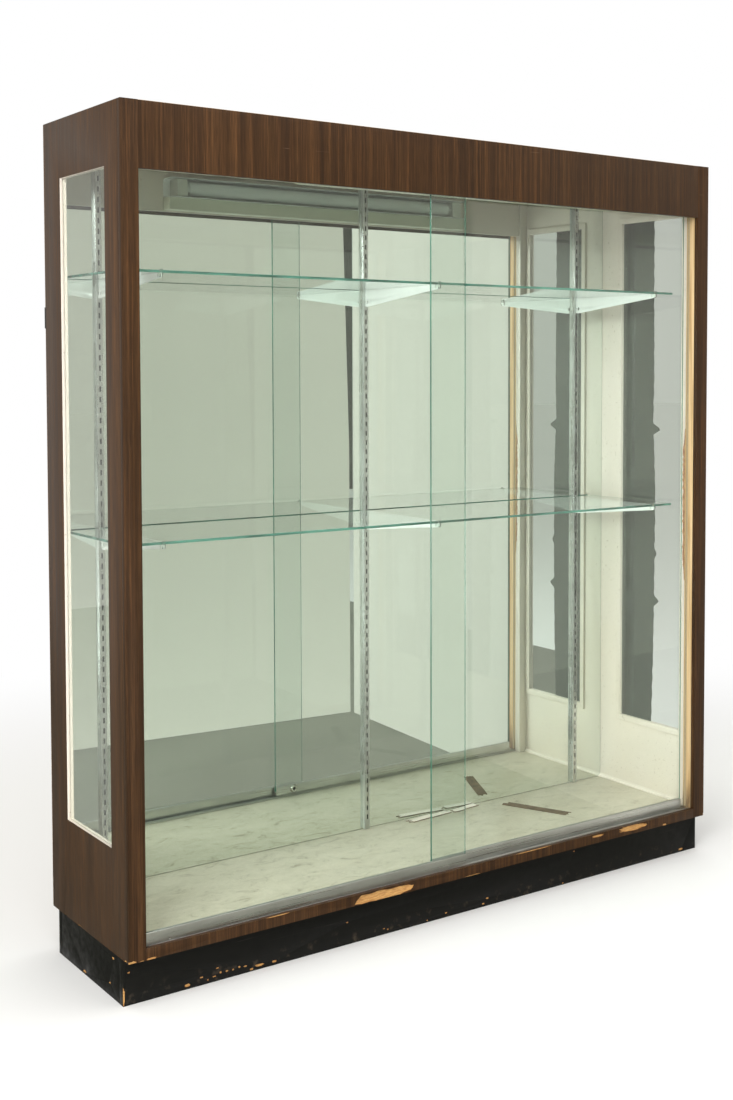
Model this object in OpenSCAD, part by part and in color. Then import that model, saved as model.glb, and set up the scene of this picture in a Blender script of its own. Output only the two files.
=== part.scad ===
// Free-standing wall display showcase: a boxed carcass on a recessed plinth, a mirror back with
// slotted standards, two glass shelves on knife brackets, a strip light behind the header and
// two frameless glass doors that roll past each other on an aluminium track.
// Millimetres, +Z up, X along the front, -Y is the front. The origin is on the floor,
// under the middle of the case.

/* [Case] */
// Overall width over the end panels
case_width = 1778; // [900:1:2400]
// Overall height from the floor to the top
case_height = 1981; // [1500:1:2400]
// Depth of the carcass, from the front face to the back of the end panels
case_depth = 444; // [360:1:700]
// Thickness of the end panels
end_thickness = 12.7; // [10:0.1:20]
// Thickness of the top, the deck and the plinth boards
board_thickness = 19; // [12:0.5:25]
// Thickness of the back panel
back_thickness = 6; // [3:0.5:12]
// Thickness of the mirror
mirror_thickness = 6; // [3:0.5:8]
// Thickness of the floor lining
lining_thickness = 2; // [1:0.5:6]

/* [Front] */
// Thickness of the stiles, the header and the bottom rail
face_thickness = 12.7; // [8:0.1:22]
// Width of each stile
stile_width = 41; // [30:0.5:90]
// Height of the header
header_height = 146; // [110:1:240]
// Height of the bottom rail above the plinth
rail_height = 26; // [22:0.5:60]
// Depth of the jamb post and its stop, from the front face
jamb_depth = 66; // [60:1:110]

/* [Plinth] */
// Height of the plinth
plinth_height = 105; // [40:1:200]
// Setback of the plinth from the front face
plinth_setback = 33; // [0:1:80]
// Setback of the plinth from the back of the end panels
plinth_back_setback = 35; // [0:1:80]

/* [End windows] */
// Distance of each window's upper edge below the top
window_head = 136; // [60:1:400]
// Height of each window's lower edge above the plinth
window_sill = 236; // [120:1:500]
// Distance of the window's front edge from the front face
window_front = 88; // [85:1:160]
// Distance of the window's rear edge from the back of the end panel
window_back = 99; // [40:1:160]
// Thickness of the window glass
window_glass = 4; // [3:0.5:6]
// Width of the bead frame round each window, on the inside
bead_width = 17; // [12:0.5:30]
// How far the bead frame stands proud of the end panel
bead_proud = 6; // [2:0.5:12]

/* [Doors] */
// Thickness of the door glass
door_glass = 6; // [5:0.5:8]
// How far the closed doors overlap
door_overlap = 77.6; // [20:0.1:160]
// How far the right door stands open at rest
right_ajar = 22.5; // [0:0.5:60]
// Height of the aluminium shoe under each door
shoe_height = 26; // [24:0.5:40]
// Width of the shoe, front to back
shoe_width = 12; // [11.5:0.1:16]
// Distance of the outer door's middle plane from the front face
outer_plane = 21; // [19.5:0.1:40]
// Distance between the two door planes
door_pitch = 14.5; // [13:0.1:30]
// Radius of the roller at the bottom of its groove
roller_radius = 5; // [4:0.1:5.4]
// Distance of each roller from its end of the door
roller_inset = 60; // [40:1:140]
// Outside diameter of the ferrule on the inner door's shoe
ferrule_diameter = 25; // [18:0.5:26]

/* [Shelves] */
// How far the upper shelf's top lies below the header
upper_shelf_drop = 209.6; // [160:0.1:600]
// Slots between the two shelves
shelf_slots = 24; // [12:1:36]
// Pitch of the slots in the standards
slot_pitch = 25.4; // [20:0.1:32]
// Mean gap between a shelf's end and the end panel
shelf_end_gap = 38.3; // [36:0.1:120]
// Distance of the shelves' front edge from the front face
shelf_setback = 85; // [74:1:200]
// Thickness of each glass shelf
shelf_thickness = 6; // [5:0.5:10]
// How far the shelves stand to the left of the middle
shelf_shift = 7; // [-8:0.5:8]
// Distance from each outer standard's middle to the end panel
standard_inset = 116.3; // [60:0.1:300]
// Width of each standard
standard_width = 16; // [12:0.5:25]
// Depth of each standard
standard_depth = 12; // [8:0.5:20]
// Height of each bracket at the standard
bracket_height = 45; // [40:1:90]
// Height of each bracket at its tip
tip_height = 11; // [6:0.5:24]
// Thickness of the bracket plate
bracket_plate = 3; // [2:0.5:6]

/* [Light] */
// Length of the light fitting
light_length = 1004; // [600:1:1500]
// How far the fitting stands to the right of the middle
light_shift = 90; // [0:1:120]
// Diameter of the fluorescent tube
tube_diameter = 38; // [16:1:38]

/* [Hidden] */
e = 0.5;
hx = case_width / 2;
bumper = 1.5;
hook_drop = 10;
overall_depth = case_depth + back_thickness + 1.5;
front = -overall_depth / 2;
z0 = plinth_height;
inner_x = hx - end_thickness;
open_x = hx - stile_width;
open_top = case_height - header_height;
ceiling = case_height - board_thickness;
deck_top = z0 + board_thickness;
floor_top = deck_top + lining_thickness;
post_split = outer_plane + door_pitch + shoe_width / 2 + 2.5;
mirror_face = case_depth - mirror_thickness;
win_z0 = z0 + window_sill;
win_z1 = case_height - window_head;
win_y1 = case_depth - window_back;
window_width = win_y1 - window_front;
rebate = 8;
glass_out = 7;
inner_plane = outer_plane + door_pitch;
track_y0 = outer_plane - shoe_width / 2 - 1.5;
track_y1 = inner_plane + shoe_width / 2 + 2.3;
track_base = 1.5;
rail_top = z0 + rail_height + 0.3;
axle_z = rail_top + 0.1 + roller_radius;
shoe_z0 = z0 + rail_height + 2;
shoe_z1 = shoe_z0 + shoe_height;
pocket_z = axle_z + roller_radius + 3.6;
glass_z0 = pocket_z;
head_z0 = open_top + 13;
head_z1 = open_top + 43;
glass_z1 = head_z0 + 14;
left_x0 = -open_x + bumper + 0.3;
door_width = (door_overlap - 2 * left_x0) / 2;
right_x1 = open_x - right_ajar;
head_board_z = open_top + 5;
light_x0 = light_shift - light_length / 2;
light_x1 = light_shift + light_length / 2;
light_y = jamb_depth - 8;
light_z0 = open_top + 8;
upper_top = open_top - upper_shelf_drop;
lower_top = upper_top - shelf_slots * slot_pitch;
hook_z = upper_top - shelf_thickness - hook_drop;
slots_below = floor((hook_z - floor_top - 20) / slot_pitch);
slot_z0 = hook_z - slots_below * slot_pitch;
slot_count = floor((ceiling - 25 - slot_z0) / slot_pitch);
standard_face = mirror_face - standard_depth;
shelf_back = standard_face - 1;
shelf_front = shelf_setback;
shelf_length = 2 * (inner_x - shelf_end_gap);
standard_spacing = inner_x - standard_inset;
bracket_tip = shelf_front - 2;

WALNUT = [0.36, 0.21, 0.13];
CREAM = [0.87, 0.85, 0.72];
BLACK = [0.03, 0.03, 0.03];
ALU = [0.62, 0.63, 0.62];
GLASS = [0.62, 0.78, 0.70, 0.35];
WHITE = [0.92, 0.93, 0.92];

// A box. x and z are in the part's frame, d is the distance from the case's front face.
module block(x0, x1, d0, d1, za, zb) {
  translate([x0, front + d0, za]) cube([x1 - x0, d1 - d0, zb - za]);
}

// The same solid on the other side of the middle.
module mirrored(side) {
  if (side > 0) children();
  else mirror([1, 0, 0]) children();
}

module end_panel(side) {
  color(WALNUT) mirrored(side) difference() {
    block(inner_x, hx, face_thickness, case_depth, z0, case_height);
    // sight opening
    block(inner_x - e, hx + e, window_front, win_y1, win_z0, win_z1);
    // rebate for the glass, cut from the inside
    block(inner_x - e, hx - glass_out, window_front - rebate, win_y1 + rebate,
          win_z0 - rebate, win_z1 + rebate);
  }
}
module end_panel_left() { end_panel(-1); }
module end_panel_right() { end_panel(1); }

module stile(side) {
  color(WALNUT) mirrored(side)
    block(open_x, hx, 0, face_thickness, z0, case_height);
}
module stile_left() { stile(-1); }
module stile_right() { stile(1); }

module header() {
  color(WALNUT) block(-open_x, open_x, 0, face_thickness, open_top, case_height);
}

module bottom_rail() {
  color(WALNUT) block(-open_x, open_x, 0, face_thickness, z0, z0 + rail_height);
}

// The post behind the stile: its bare wood face is where the doors close.
module jamb(side) {
  color([0.78, 0.62, 0.40]) mirrored(side)
    block(open_x, inner_x, face_thickness, post_split, deck_top, ceiling);
}
module jamb_left() { jamb(-1); }
module jamb_right() { jamb(1); }

// The painted stop behind the doors, on the same post.
module stop(side) {
  color(CREAM) mirrored(side)
    block(open_x, inner_x, post_split, jamb_depth, deck_top, ceiling);
}
module stop_left() { stop(-1); }
module stop_right() { stop(1); }

module top_panel() {
  color(WALNUT) block(-inner_x, inner_x, face_thickness, case_depth, ceiling, case_height);
}

module deck_panel() {
  color(WALNUT) block(-inner_x, inner_x, face_thickness, case_depth, z0, deck_top);
}

// Marbled lining on the deck. It is notched round the two stops.
module floor_lining() {
  color([0.82, 0.80, 0.66]) difference() {
    block(-inner_x, inner_x, track_y1 + 0.5, mirror_face, deck_top, floor_top);
    block(-inner_x - e, -open_x, 0, jamb_depth, z0, floor_top + e);
    block(open_x, inner_x + e, 0, jamb_depth, z0, floor_top + e);
  }
}

// Small coved bead where each end panel meets the floor.
module floor_bead(side) {
  mirrored(side) difference() {
    block(inner_x - 9, inner_x, jamb_depth, mirror_face, floor_top, floor_top + 9);
    translate([inner_x - 9, front + jamb_depth - e, floor_top + 9])
      rotate([-90, 0, 0]) cylinder(r = 6.5, h = mirror_face - jamb_depth + 2 * e, $fn = 32);
  }
}
module floor_beads() {
  color(CREAM) {
    floor_bead(-1);
    floor_bead(1);
  }
}

module back_panel() {
  color([0.72, 0.66, 0.52])
    block(-hx + 1.5, hx - 1.5, case_depth, case_depth + back_thickness, z0, case_height);
}

// Black steel angle that holds the back panel's edge to the carcass.
module corner_strap(side) {
  strap_z = z0 + 0.744 * (case_height - z0);
  mirrored(side) {
    block(hx - 1.5, hx, case_depth, overall_depth, strap_z, strap_z + 50);
    block(hx - 28, hx, overall_depth - 1.5, overall_depth, strap_z, strap_z + 50);
  }
}
module corner_straps() {
  color(BLACK) {
    corner_strap(-1);
    corner_strap(1);
  }
}

module mirror_sheet() {
  color([0.85, 0.9, 0.88])
    block(-inner_x, inner_x, mirror_face, case_depth, floor_top, ceiling);
}

module head_board() {
  color(CREAM) block(-open_x, open_x, light_y - 10, light_y, head_board_z, ceiling);
}

module head_block() {
  color(CREAM) block(-open_x, open_x, face_thickness, light_y - 10, head_z1, ceiling);
}

module window_pane(side) {
  color(GLASS) mirrored(side)
    block(hx - glass_out - window_glass, hx - glass_out, window_front - rebate + 0.3,
          win_y1 + rebate - 0.3, win_z0 - rebate + 0.3, win_z1 + rebate - 0.3);
}
module window_glass_left() { window_pane(-1); }
module window_glass_right() { window_pane(1); }

// Bead frame: a tongue in the rebate behind the glass, and the moulding on the inner face.
module window_bead(side) {
  color(CREAM) mirrored(side) difference() {
    union() {
      block(inner_x, hx - glass_out - window_glass, window_front - rebate + 0.3,
            win_y1 + rebate - 0.3, win_z0 - rebate + 0.3, win_z1 + rebate - 0.3);
      block(inner_x - bead_proud, inner_x, window_front - bead_width, win_y1 + bead_width,
            win_z0 - bead_width, win_z1 + bead_width);
    }
    block(inner_x - bead_proud - e, hx, window_front, win_y1, win_z0, win_z1);
  }
}
module window_bead_left() { window_bead(-1); }
module window_bead_right() { window_bead(1); }

// Dark film left on the outside of the right window, over its rear half.
module window_film() {
  color([0.25, 0.26, 0.23, 0.8])
    block(hx - glass_out, hx - glass_out + 0.4, window_front + 0.47 * window_width,
          win_y1 - 0.5, win_z0 + 0.5, win_z1 - 0.5);
}

module plinth_front() {
  color(BLACK)
    block(-hx, hx, plinth_setback, plinth_setback + board_thickness, 0, plinth_height);
}

module plinth_back() {
  d = case_depth - plinth_back_setback;
  color(BLACK) block(-hx, hx, d - board_thickness, d, 0, plinth_height);
}

module plinth_end(side) {
  d = case_depth - plinth_back_setback;
  color(BLACK) mirrored(side)
    block(hx - board_thickness, hx, plinth_setback + board_thickness, d - board_thickness,
          0, plinth_height);
}
module plinth_left() { plinth_end(-1); }
module plinth_right() { plinth_end(1); }

// Double channel that guides the tops of the two doors.
module top_track() {
  color(ALU) difference() {
    block(-open_x, open_x, track_y0, track_y1, head_z0, head_z1);
    for (d = [outer_plane, inner_plane])
      block(-open_x - e, open_x + e, d - door_glass / 2 - 2.5, d + door_glass / 2 + 2.5,
            head_z0 - e, head_z1 - 2);
  }
}

// Base with two thin rails for the rollers and a lip at each edge.
module bottom_track() {
  color(ALU) {
    block(-open_x, open_x, track_y0, track_y1, deck_top, deck_top + track_base);
    for (d = [outer_plane, inner_plane])
      block(-open_x, open_x, d - 1.2, d + 1.2, deck_top, rail_top);
    block(-open_x, open_x, track_y0, track_y0 + 1.2, deck_top, z0 + rail_height);
    block(-open_x, open_x, track_y1 - 1.2, track_y1, deck_top, z0 + rail_height);
  }
}

// Thin felt strips on the posts, where the doors' edges land.
module door_bumpers() {
  color([0.35, 0.33, 0.30]) {
    block(-open_x, bumper - open_x, outer_plane - 4, outer_plane + 4, shoe_z0, head_z0 - 5);
    block(open_x - bumper, open_x, inner_plane - 4, inner_plane + 4, shoe_z0, head_z0 - 5);
  }
}

// Slotted steel channel. One slot in each pitch, screwed through the mirror.
module standard(x) {
  lo = floor_top + 2;
  hi = ceiling - 3;
  color([0.66, 0.68, 0.66]) translate([x, 0, 0]) difference() {
    block(-standard_width / 2, standard_width / 2, standard_face, mirror_face, lo, hi);
    // hollow at the back
    block(-standard_width / 2 + 1.5, standard_width / 2 - 1.5, standard_face + 1.5,
          mirror_face + e, lo - e, hi + e);
    for (i = [0 : slot_count]) {
      z = slot_z0 + i * slot_pitch;
      block(-2, 2, standard_face - e, standard_face + 2, z - 6.5, z + 6.5);
    }
  }
}
module standard_left() { standard(-standard_spacing); }
module standard_centre() { standard(0); }
module standard_right() { standard(standard_spacing); }

// Folded steel tray for the ballast, on the back of the head board. The reflector closes it.
module light_housing() {
  color(CREAM) difference() {
    block(light_x0, light_x1, light_y, light_y + 40, light_z0, light_z0 + 34);
    block(light_x0 + 1.2, light_x1 - 1.2, light_y + 1.2, light_y + 38.8,
          light_z0 + 1.2, light_z0 + 34 + e);
  }
}

// White folded reflector: a trough that opens to the back, with the tube in it.
module light_reflector() {
  color(WHITE) difference() {
    block(light_x0, light_x1, light_y, light_y + 52, light_z0 + 34, light_z0 + 88);
    block(light_x0 - e, light_x1 + e, light_y + 1.5, light_y + 52 + e,
          light_z0 + 35.5, light_z0 + 86.5);
  }
}

module light_tube() {
  color([0.95, 0.96, 0.94])
    translate([light_x0 + 45, front + light_y + 26, light_z0 + 61]) rotate([0, 90, 0])
      cylinder(r = tube_diameter / 2, h = light_length - 90, $fn = 64);
}

// Two lamp holders, each a block with a socket for the tube's end.
module lamp_holders() {
  color(WHITE)
    difference() {
      for (x = [light_x0 + 20, light_x1 - 50])
        block(x, x + 30, light_y + 2, light_y + 49, light_z0 + 38, light_z0 + 84);
      translate([light_x0 + 44.8, front + light_y + 26, light_z0 + 61]) rotate([0, 90, 0])
        cylinder(r = tube_diameter / 2 + 0.3, h = light_length - 89.6, $fn = 64);
    }
}

module door_pane(x0, d) {
  color(GLASS)
    block(x0, x0 + door_width, d - door_glass / 2, d + door_glass / 2, glass_z0, glass_z1);
}
module left_glass() { door_pane(left_x0, outer_plane); }
module right_glass() { door_pane(right_x1 - door_width, inner_plane); }

// Channel that grips the glass above and covers the rollers below.
module shoe(x0, d) {
  color(ALU) difference() {
    block(x0 + 0.5, x0 + door_width - 0.5, d - shoe_width / 2, d + shoe_width / 2,
          shoe_z0, shoe_z1);
    block(x0 - e, x0 + door_width + e, d - door_glass / 2, d + door_glass / 2,
          pocket_z, shoe_z1 + e);
    block(x0 - e, x0 + door_width + e, d - shoe_width / 2 + 1.6, d + shoe_width / 2 - 1.6,
          shoe_z0 - e, pocket_z - 1.5);
    for (x = [roller_inset, door_width - roller_inset])
      translate([x0 + x, front + d - shoe_width / 2 - e, axle_z]) rotate([-90, 0, 0])
        cylinder(r = 1.5, h = shoe_width + 2 * e, $fn = 32);
  }
}
module left_shoe() { shoe(left_x0, outer_plane); }
module right_shoe() { shoe(right_x1 - door_width, inner_plane); }

module axles(x0, d) {
  color([0.6, 0.6, 0.6])
    for (x = [roller_inset, door_width - roller_inset])
      translate([x0 + x, front + d - shoe_width / 2 + 0.1, axle_z]) rotate([-90, 0, 0])
        cylinder(r = 1.5, h = shoe_width - 0.2, $fn = 32);
}
module left_axles() { axles(left_x0, outer_plane); }
module right_axles() { axles(right_x1 - door_width, inner_plane); }

// Grooved nylon wheel that straddles the rail.
module roller(x, d) {
  color(WHITE) translate([x, front + d, axle_z]) rotate([90, 0, 0]) difference() {
    cylinder(r = roller_radius + 1, h = shoe_width - 6, center = true, $fn = 48);
    difference() {
      cylinder(r = roller_radius + 4, h = 3.2, center = true, $fn = 48);
      cylinder(r = roller_radius, h = 4, center = true, $fn = 48);
    }
    cylinder(r = 1.55, h = 8, center = true, $fn = 32);
  }
}
module left_roller_a() { roller(left_x0 + roller_inset, outer_plane); }
module left_roller_b() { roller(left_x0 + door_width - roller_inset, outer_plane); }
module right_roller_a() { roller(right_x1 - door_width + roller_inset, inner_plane); }
module right_roller_b() { roller(right_x1 - roller_inset, inner_plane); }

// Round metal ferrule on the rear face of the inner door's shoe.
module lock_ferrule() {
  zc = (shoe_z0 + shoe_z1) / 2 + 0.5;
  color(ALU)
    translate([right_x1 - door_width + roller_inset, front + inner_plane + shoe_width / 2, zc])
      rotate([-90, 0, 0]) difference() {
        union() {
          cylinder(r = ferrule_diameter / 2, h = 1.5, $fn = 64);
          translate([0, 0, 1.5])
            cylinder(r1 = ferrule_diameter / 2 - 1, r2 = ferrule_diameter / 2 - 3, h = 2, $fn = 64);
        }
        translate([0, 0, -e]) cylinder(r = 5, h = 5, $fn = 48);
      }
}

module shelf(top) {
  color(GLASS)
    block(-shelf_length / 2 - shelf_shift, shelf_length / 2 - shelf_shift,
          shelf_front, shelf_back, top - shelf_thickness, top);
}
module upper_shelf() { shelf(upper_top); }
module lower_shelf() { shelf(lower_top); }

// Knife bracket: a tapered plate with two hooks that drop into the standard's slots.
module bracket(x, top) {
  zt = top - shelf_thickness;
  root = standard_face - 0.3;
  len = root - bracket_tip;
  color(WHITE) translate([x + bracket_plate / 2, front, zt]) rotate([90, 0, -90])
    linear_extrude(height = bracket_plate) difference() {
      union() {
        polygon([[-root, 0], [-root, -bracket_height], [-root + 18, -bracket_height],
                 [-root + len - 6, -tip_height], [-root + len, -tip_height + 6],
                 [-root + len, 0]]);
        // hooks: through the slot, then down behind the face
        for (z = [-hook_drop, -hook_drop - slot_pitch]) {
          translate([-root - 5.5, z - 5]) square([5.6, 8.5]);
          translate([-root - 5.5, z - 11]) square([3.4, 8]);
        }
      }
      translate([-root + 9, -bracket_height + 13]) circle(r = 5, $fn = 48);
    }
}
module upper_bracket_left() { bracket(-standard_spacing, upper_top); }
module upper_bracket_centre() { bracket(0, upper_top); }
module upper_bracket_right() { bracket(standard_spacing, upper_top); }
module lower_bracket_left() { bracket(-standard_spacing, lower_top); }
module lower_bracket_centre() { bracket(0, lower_top); }
module lower_bracket_right() { bracket(standard_spacing, lower_top); }

// Clear clips on the bracket tips that keep the shelf's front edge from sliding out.
module clips(top) {
  zt = top - shelf_thickness;
  color([0.85, 0.9, 0.85, 0.5])
    for (x = [-standard_spacing, 0, standard_spacing]) difference() {
      union() {
        block(x - 3.5, x + 3.5, bracket_tip - 1.5, shelf_front - 0.1, zt - 10, top + 2.5);
        block(x - 3.5, x + 3.5, bracket_tip - 1.5, bracket_tip + 13, zt - 10, zt - 0.1);
      }
      block(x - bracket_plate / 2 - 0.1, x + bracket_plate / 2 + 0.1, bracket_tip, bracket_tip + 14,
            zt - 11, zt);
    }
}
module upper_clips() { clips(upper_top); }
module lower_clips() { clips(lower_top); }

end_panel_left();
end_panel_right();
stile_left();
stile_right();
header();
bottom_rail();
jamb_left();
jamb_right();
stop_left();
stop_right();
top_panel();
deck_panel();
floor_lining();
floor_beads();
back_panel();
corner_straps();
mirror_sheet();
head_board();
head_block();
window_glass_left();
window_glass_right();
window_bead_left();
window_bead_right();
window_film();
plinth_front();
plinth_back();
plinth_left();
plinth_right();
top_track();
bottom_track();
door_bumpers();
standard_left();
standard_centre();
standard_right();
light_housing();
light_reflector();
light_tube();
lamp_holders();
left_glass();
left_shoe();
left_axles();
left_roller_a();
left_roller_b();
right_glass();
right_shoe();
right_axles();
right_roller_a();
right_roller_b();
lock_ferrule();
upper_shelf();
upper_bracket_left();
upper_bracket_centre();
upper_bracket_right();
upper_clips();
lower_shelf();
lower_bracket_left();
lower_bracket_centre();
lower_bracket_right();
lower_clips();
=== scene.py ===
# %% [markdown]
# # A glass display showcase, dressed for its portrait
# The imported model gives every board, pane and rail its place. This lesson builds the visible
# pieces round it: bevelled and chipped boards, moulded window beads, rolled aluminium tracks,
# knife brackets and glass with green edges. Everything is in metres, +Z up, -Y to the front.

# %% Load the frame
import math
import random

import bpy
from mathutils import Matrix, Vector


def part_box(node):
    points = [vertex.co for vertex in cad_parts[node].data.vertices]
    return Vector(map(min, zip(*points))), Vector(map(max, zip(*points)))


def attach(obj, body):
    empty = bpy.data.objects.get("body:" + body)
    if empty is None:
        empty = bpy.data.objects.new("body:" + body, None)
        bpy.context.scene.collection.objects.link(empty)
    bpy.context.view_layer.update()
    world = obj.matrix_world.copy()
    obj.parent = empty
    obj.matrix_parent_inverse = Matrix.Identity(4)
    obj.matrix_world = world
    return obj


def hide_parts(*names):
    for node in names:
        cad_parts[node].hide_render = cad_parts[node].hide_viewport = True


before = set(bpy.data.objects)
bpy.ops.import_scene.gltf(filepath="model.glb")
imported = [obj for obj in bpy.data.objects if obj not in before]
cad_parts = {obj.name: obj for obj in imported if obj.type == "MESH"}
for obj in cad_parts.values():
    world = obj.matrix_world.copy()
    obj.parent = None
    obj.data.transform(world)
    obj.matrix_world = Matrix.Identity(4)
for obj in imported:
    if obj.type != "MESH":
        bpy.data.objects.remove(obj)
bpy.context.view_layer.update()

MM = 0.001

# %% [markdown]
# ## The camera first
# The lens looks along the case from its left front corner, a little above the middle of the
# doors. A small lens shift keeps the uprights upright, as a view camera does, so the camera
# itself hardly tilts.

# %% Camera
camera_data = bpy.data.cameras.new("portrait_camera")
camera_data.sensor_width = 36
camera_data.lens = 47.709
camera_data.shift_x, camera_data.shift_y = -0.1032, -0.1021
portrait_camera = bpy.data.objects.new("portrait_camera", camera_data)
bpy.context.scene.collection.objects.link(portrait_camera)
portrait_camera.location = (-2.1645, -3.1771, 1.4060)
TILT, ROLL, TURN = math.radians(90 - 2.714), math.radians(-0.043), math.radians(-37.137)
portrait_camera.rotation_euler = (TILT, ROLL, TURN)
bpy.context.scene.camera = portrait_camera
print("camera", tuple(round(c, 3) for c in portrait_camera.location))

# %% [markdown]
# ## Small workshop
# Every new piece starts as a primitive at its size and place. These helpers deselect first,
# because an operator acts on all that is selected, and they apply each modifier at once, so
# that a piece's final shape is in its mesh.

# %% Workshop: selecting, blocks and modifiers
def only(*pieces):
    if bpy.context.mode != "OBJECT":
        bpy.ops.object.mode_set(mode="OBJECT")
    bpy.ops.object.select_all(action="DESELECT")
    for piece in pieces:
        piece.select_set(True)
    if pieces:
        bpy.context.view_layer.objects.active = pieces[0]


def named(piece, name):
    piece.name = piece.data.name = name
    return piece


def made_of(piece, material):
    piece.data.materials.clear()
    piece.data.materials.append(material)
    return piece


def block(name, low, high):
    low, high = Vector(low), Vector(high)
    only()
    bpy.ops.mesh.primitive_cube_add(size=1, location=(low + high) / 2)
    piece = named(bpy.context.active_object, name)
    piece.scale = high - low
    bpy.ops.object.transform_apply(location=True, rotation=True, scale=True)
    return piece


def modify(piece, kind, **settings):
    only(piece)
    modifier = piece.modifiers.new(kind, kind)
    for setting, value in settings.items():
        setattr(modifier, setting, value)
    bpy.ops.object.modifier_apply(modifier=modifier.name)
    return piece


def soften(piece, width=0.6, segments=2, angle=35):
    modify(piece, "BEVEL", width=width * MM, segments=segments, limit_method="ANGLE",
           angle_limit=math.radians(angle), use_clamp_overlap=True)
    only(piece)
    bpy.ops.object.shade_smooth_by_angle(angle=math.radians(40))
    return piece


def cut(piece, *cutters):
    for cutter in cutters:
        modify(piece, "BOOLEAN", operation="DIFFERENCE", solver="EXACT", object=cutter,
               material_mode="TRANSFER")
        bpy.data.objects.remove(cutter)
    return piece


def joined(piece, other):
    modify(piece, "BOOLEAN", operation="UNION", solver="EXACT", object=other)
    bpy.data.objects.remove(other)
    return piece


def together(name, pieces):
    only(*pieces)
    if len(pieces) > 1:
        bpy.ops.object.join()
    return named(bpy.context.active_object, name)


# %% Workshop: extruded profiles and turned shapes
AXES = {"X": (1, 2, 0), "Y": (0, 2, 1), "Z": (0, 1, 2)}


def profile(name, points, axis, start, end):
    """A closed outline, given in the plane across the axis, is extruded along the axis."""
    first, second, along = AXES[axis]
    only()
    bpy.ops.mesh.primitive_circle_add(vertices=len(points), radius=1, fill_type="NGON")
    piece = named(bpy.context.active_object, name)
    for vertex, (a, b) in zip(piece.data.vertices, points):
        place = [0, 0, 0]
        place[first], place[second], place[along] = a, b, start
        vertex.co = place
    push = [0, 0, 0]
    push[along] = end - start
    bpy.ops.object.mode_set(mode="EDIT")
    bpy.ops.mesh.select_all(action="SELECT")
    bpy.ops.mesh.extrude_region_move(TRANSFORM_OT_translate={"value": push})
    bpy.ops.mesh.select_all(action="SELECT")
    bpy.ops.mesh.normals_make_consistent(inside=False)
    bpy.ops.object.mode_set(mode="OBJECT")
    return piece


def turned(name, outline, centre, axis, steps=32):
    """A closed outline of (radius, height along the axis) is spun into a round piece."""
    across = {"X": (0, 0, 1), "Y": (1, 0, 0), "Z": (1, 0, 0)}[axis]
    along = {"X": (1, 0, 0), "Y": (0, 1, 0), "Z": (0, 0, 1)}[axis]
    only()
    bpy.ops.mesh.primitive_circle_add(vertices=len(outline), radius=1, fill_type="NOTHING")
    piece = named(bpy.context.active_object, name)
    for vertex, (radius, height) in zip(piece.data.vertices, outline):
        vertex.co = Vector(centre) + Vector(across) * radius + Vector(along) * height
    bpy.ops.object.mode_set(mode="EDIT")
    bpy.ops.mesh.select_all(action="SELECT")
    bpy.ops.mesh.spin(steps=steps, angle=math.tau, center=centre, axis=along)
    bpy.ops.mesh.select_all(action="SELECT")
    bpy.ops.mesh.remove_doubles(threshold=0.00001)
    bpy.ops.mesh.normals_make_consistent(inside=False)
    bpy.ops.object.mode_set(mode="OBJECT")
    only(piece)
    bpy.ops.object.shade_smooth_by_angle(angle=math.radians(40))
    return piece


# %% [markdown]
# What repeats on the real object came out of one die or machine, so it is modelled once. A
# copy gets its own mesh, moved to its place, and its origin stays at the object's origin.

# %% Workshop: copies
def copied(piece, name, offset):
    twin = bpy.data.objects.new(name, piece.data.copy())
    twin.data.name = name
    bpy.context.scene.collection.objects.link(twin)
    for vertex in twin.data.vertices:
        vertex.co += Vector(offset)
    return twin


def repeated(piece, name, offsets):
    """The piece and a copy of it at each offset, joined into one."""
    return together(name, [piece] + [copied(piece, "copy", offset) for offset in offsets])


def at_nodes(piece, nodes, naming):
    """The piece stands at the first node, and a copy goes to the place of each other one."""
    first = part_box(nodes[0])[0]
    return [piece] + [copied(piece, naming(node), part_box(node)[0] - first)
                      for node in nodes[1:]]


# %% [markdown]
# A piece can have several finishes: its faces are told apart by place or normal. The last
# helper says which body a piece travels with and which parts of the imported model it stands
# for, and hides those.

# %% Workshop: finishing a piece
def finish_with(piece, *finishes):
    """Another finish, given with a test, goes on faces that still have the first one."""
    for finish, test in finishes:
        names = [m.name if m else "" for m in piece.data.materials]
        if finish.name not in names:
            piece.data.materials.append(finish)
            names.append(finish.name)
        for face in piece.data.polygons:
            if face.material_index == 0 and test(face.center, face.normal):
                face.material_index = names.index(finish.name)
    return piece


def stands_for(piece, body, slot, *nodes):
    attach(piece, body)
    if nodes:
        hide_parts(*nodes)
    print(f"{piece.name}: {len(piece.data.polygons)} faces, rides on {body}")
    return piece

# %% [markdown]
# ## Finishes
# Each finish is procedural and reads Object coordinates, in metres, so a grain line has the
# same size on every board. A tiny helper makes the nodes, and each finish then says what it
# is made of: a colour ramp over one or two noises, a roughness and a little bump.

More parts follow.
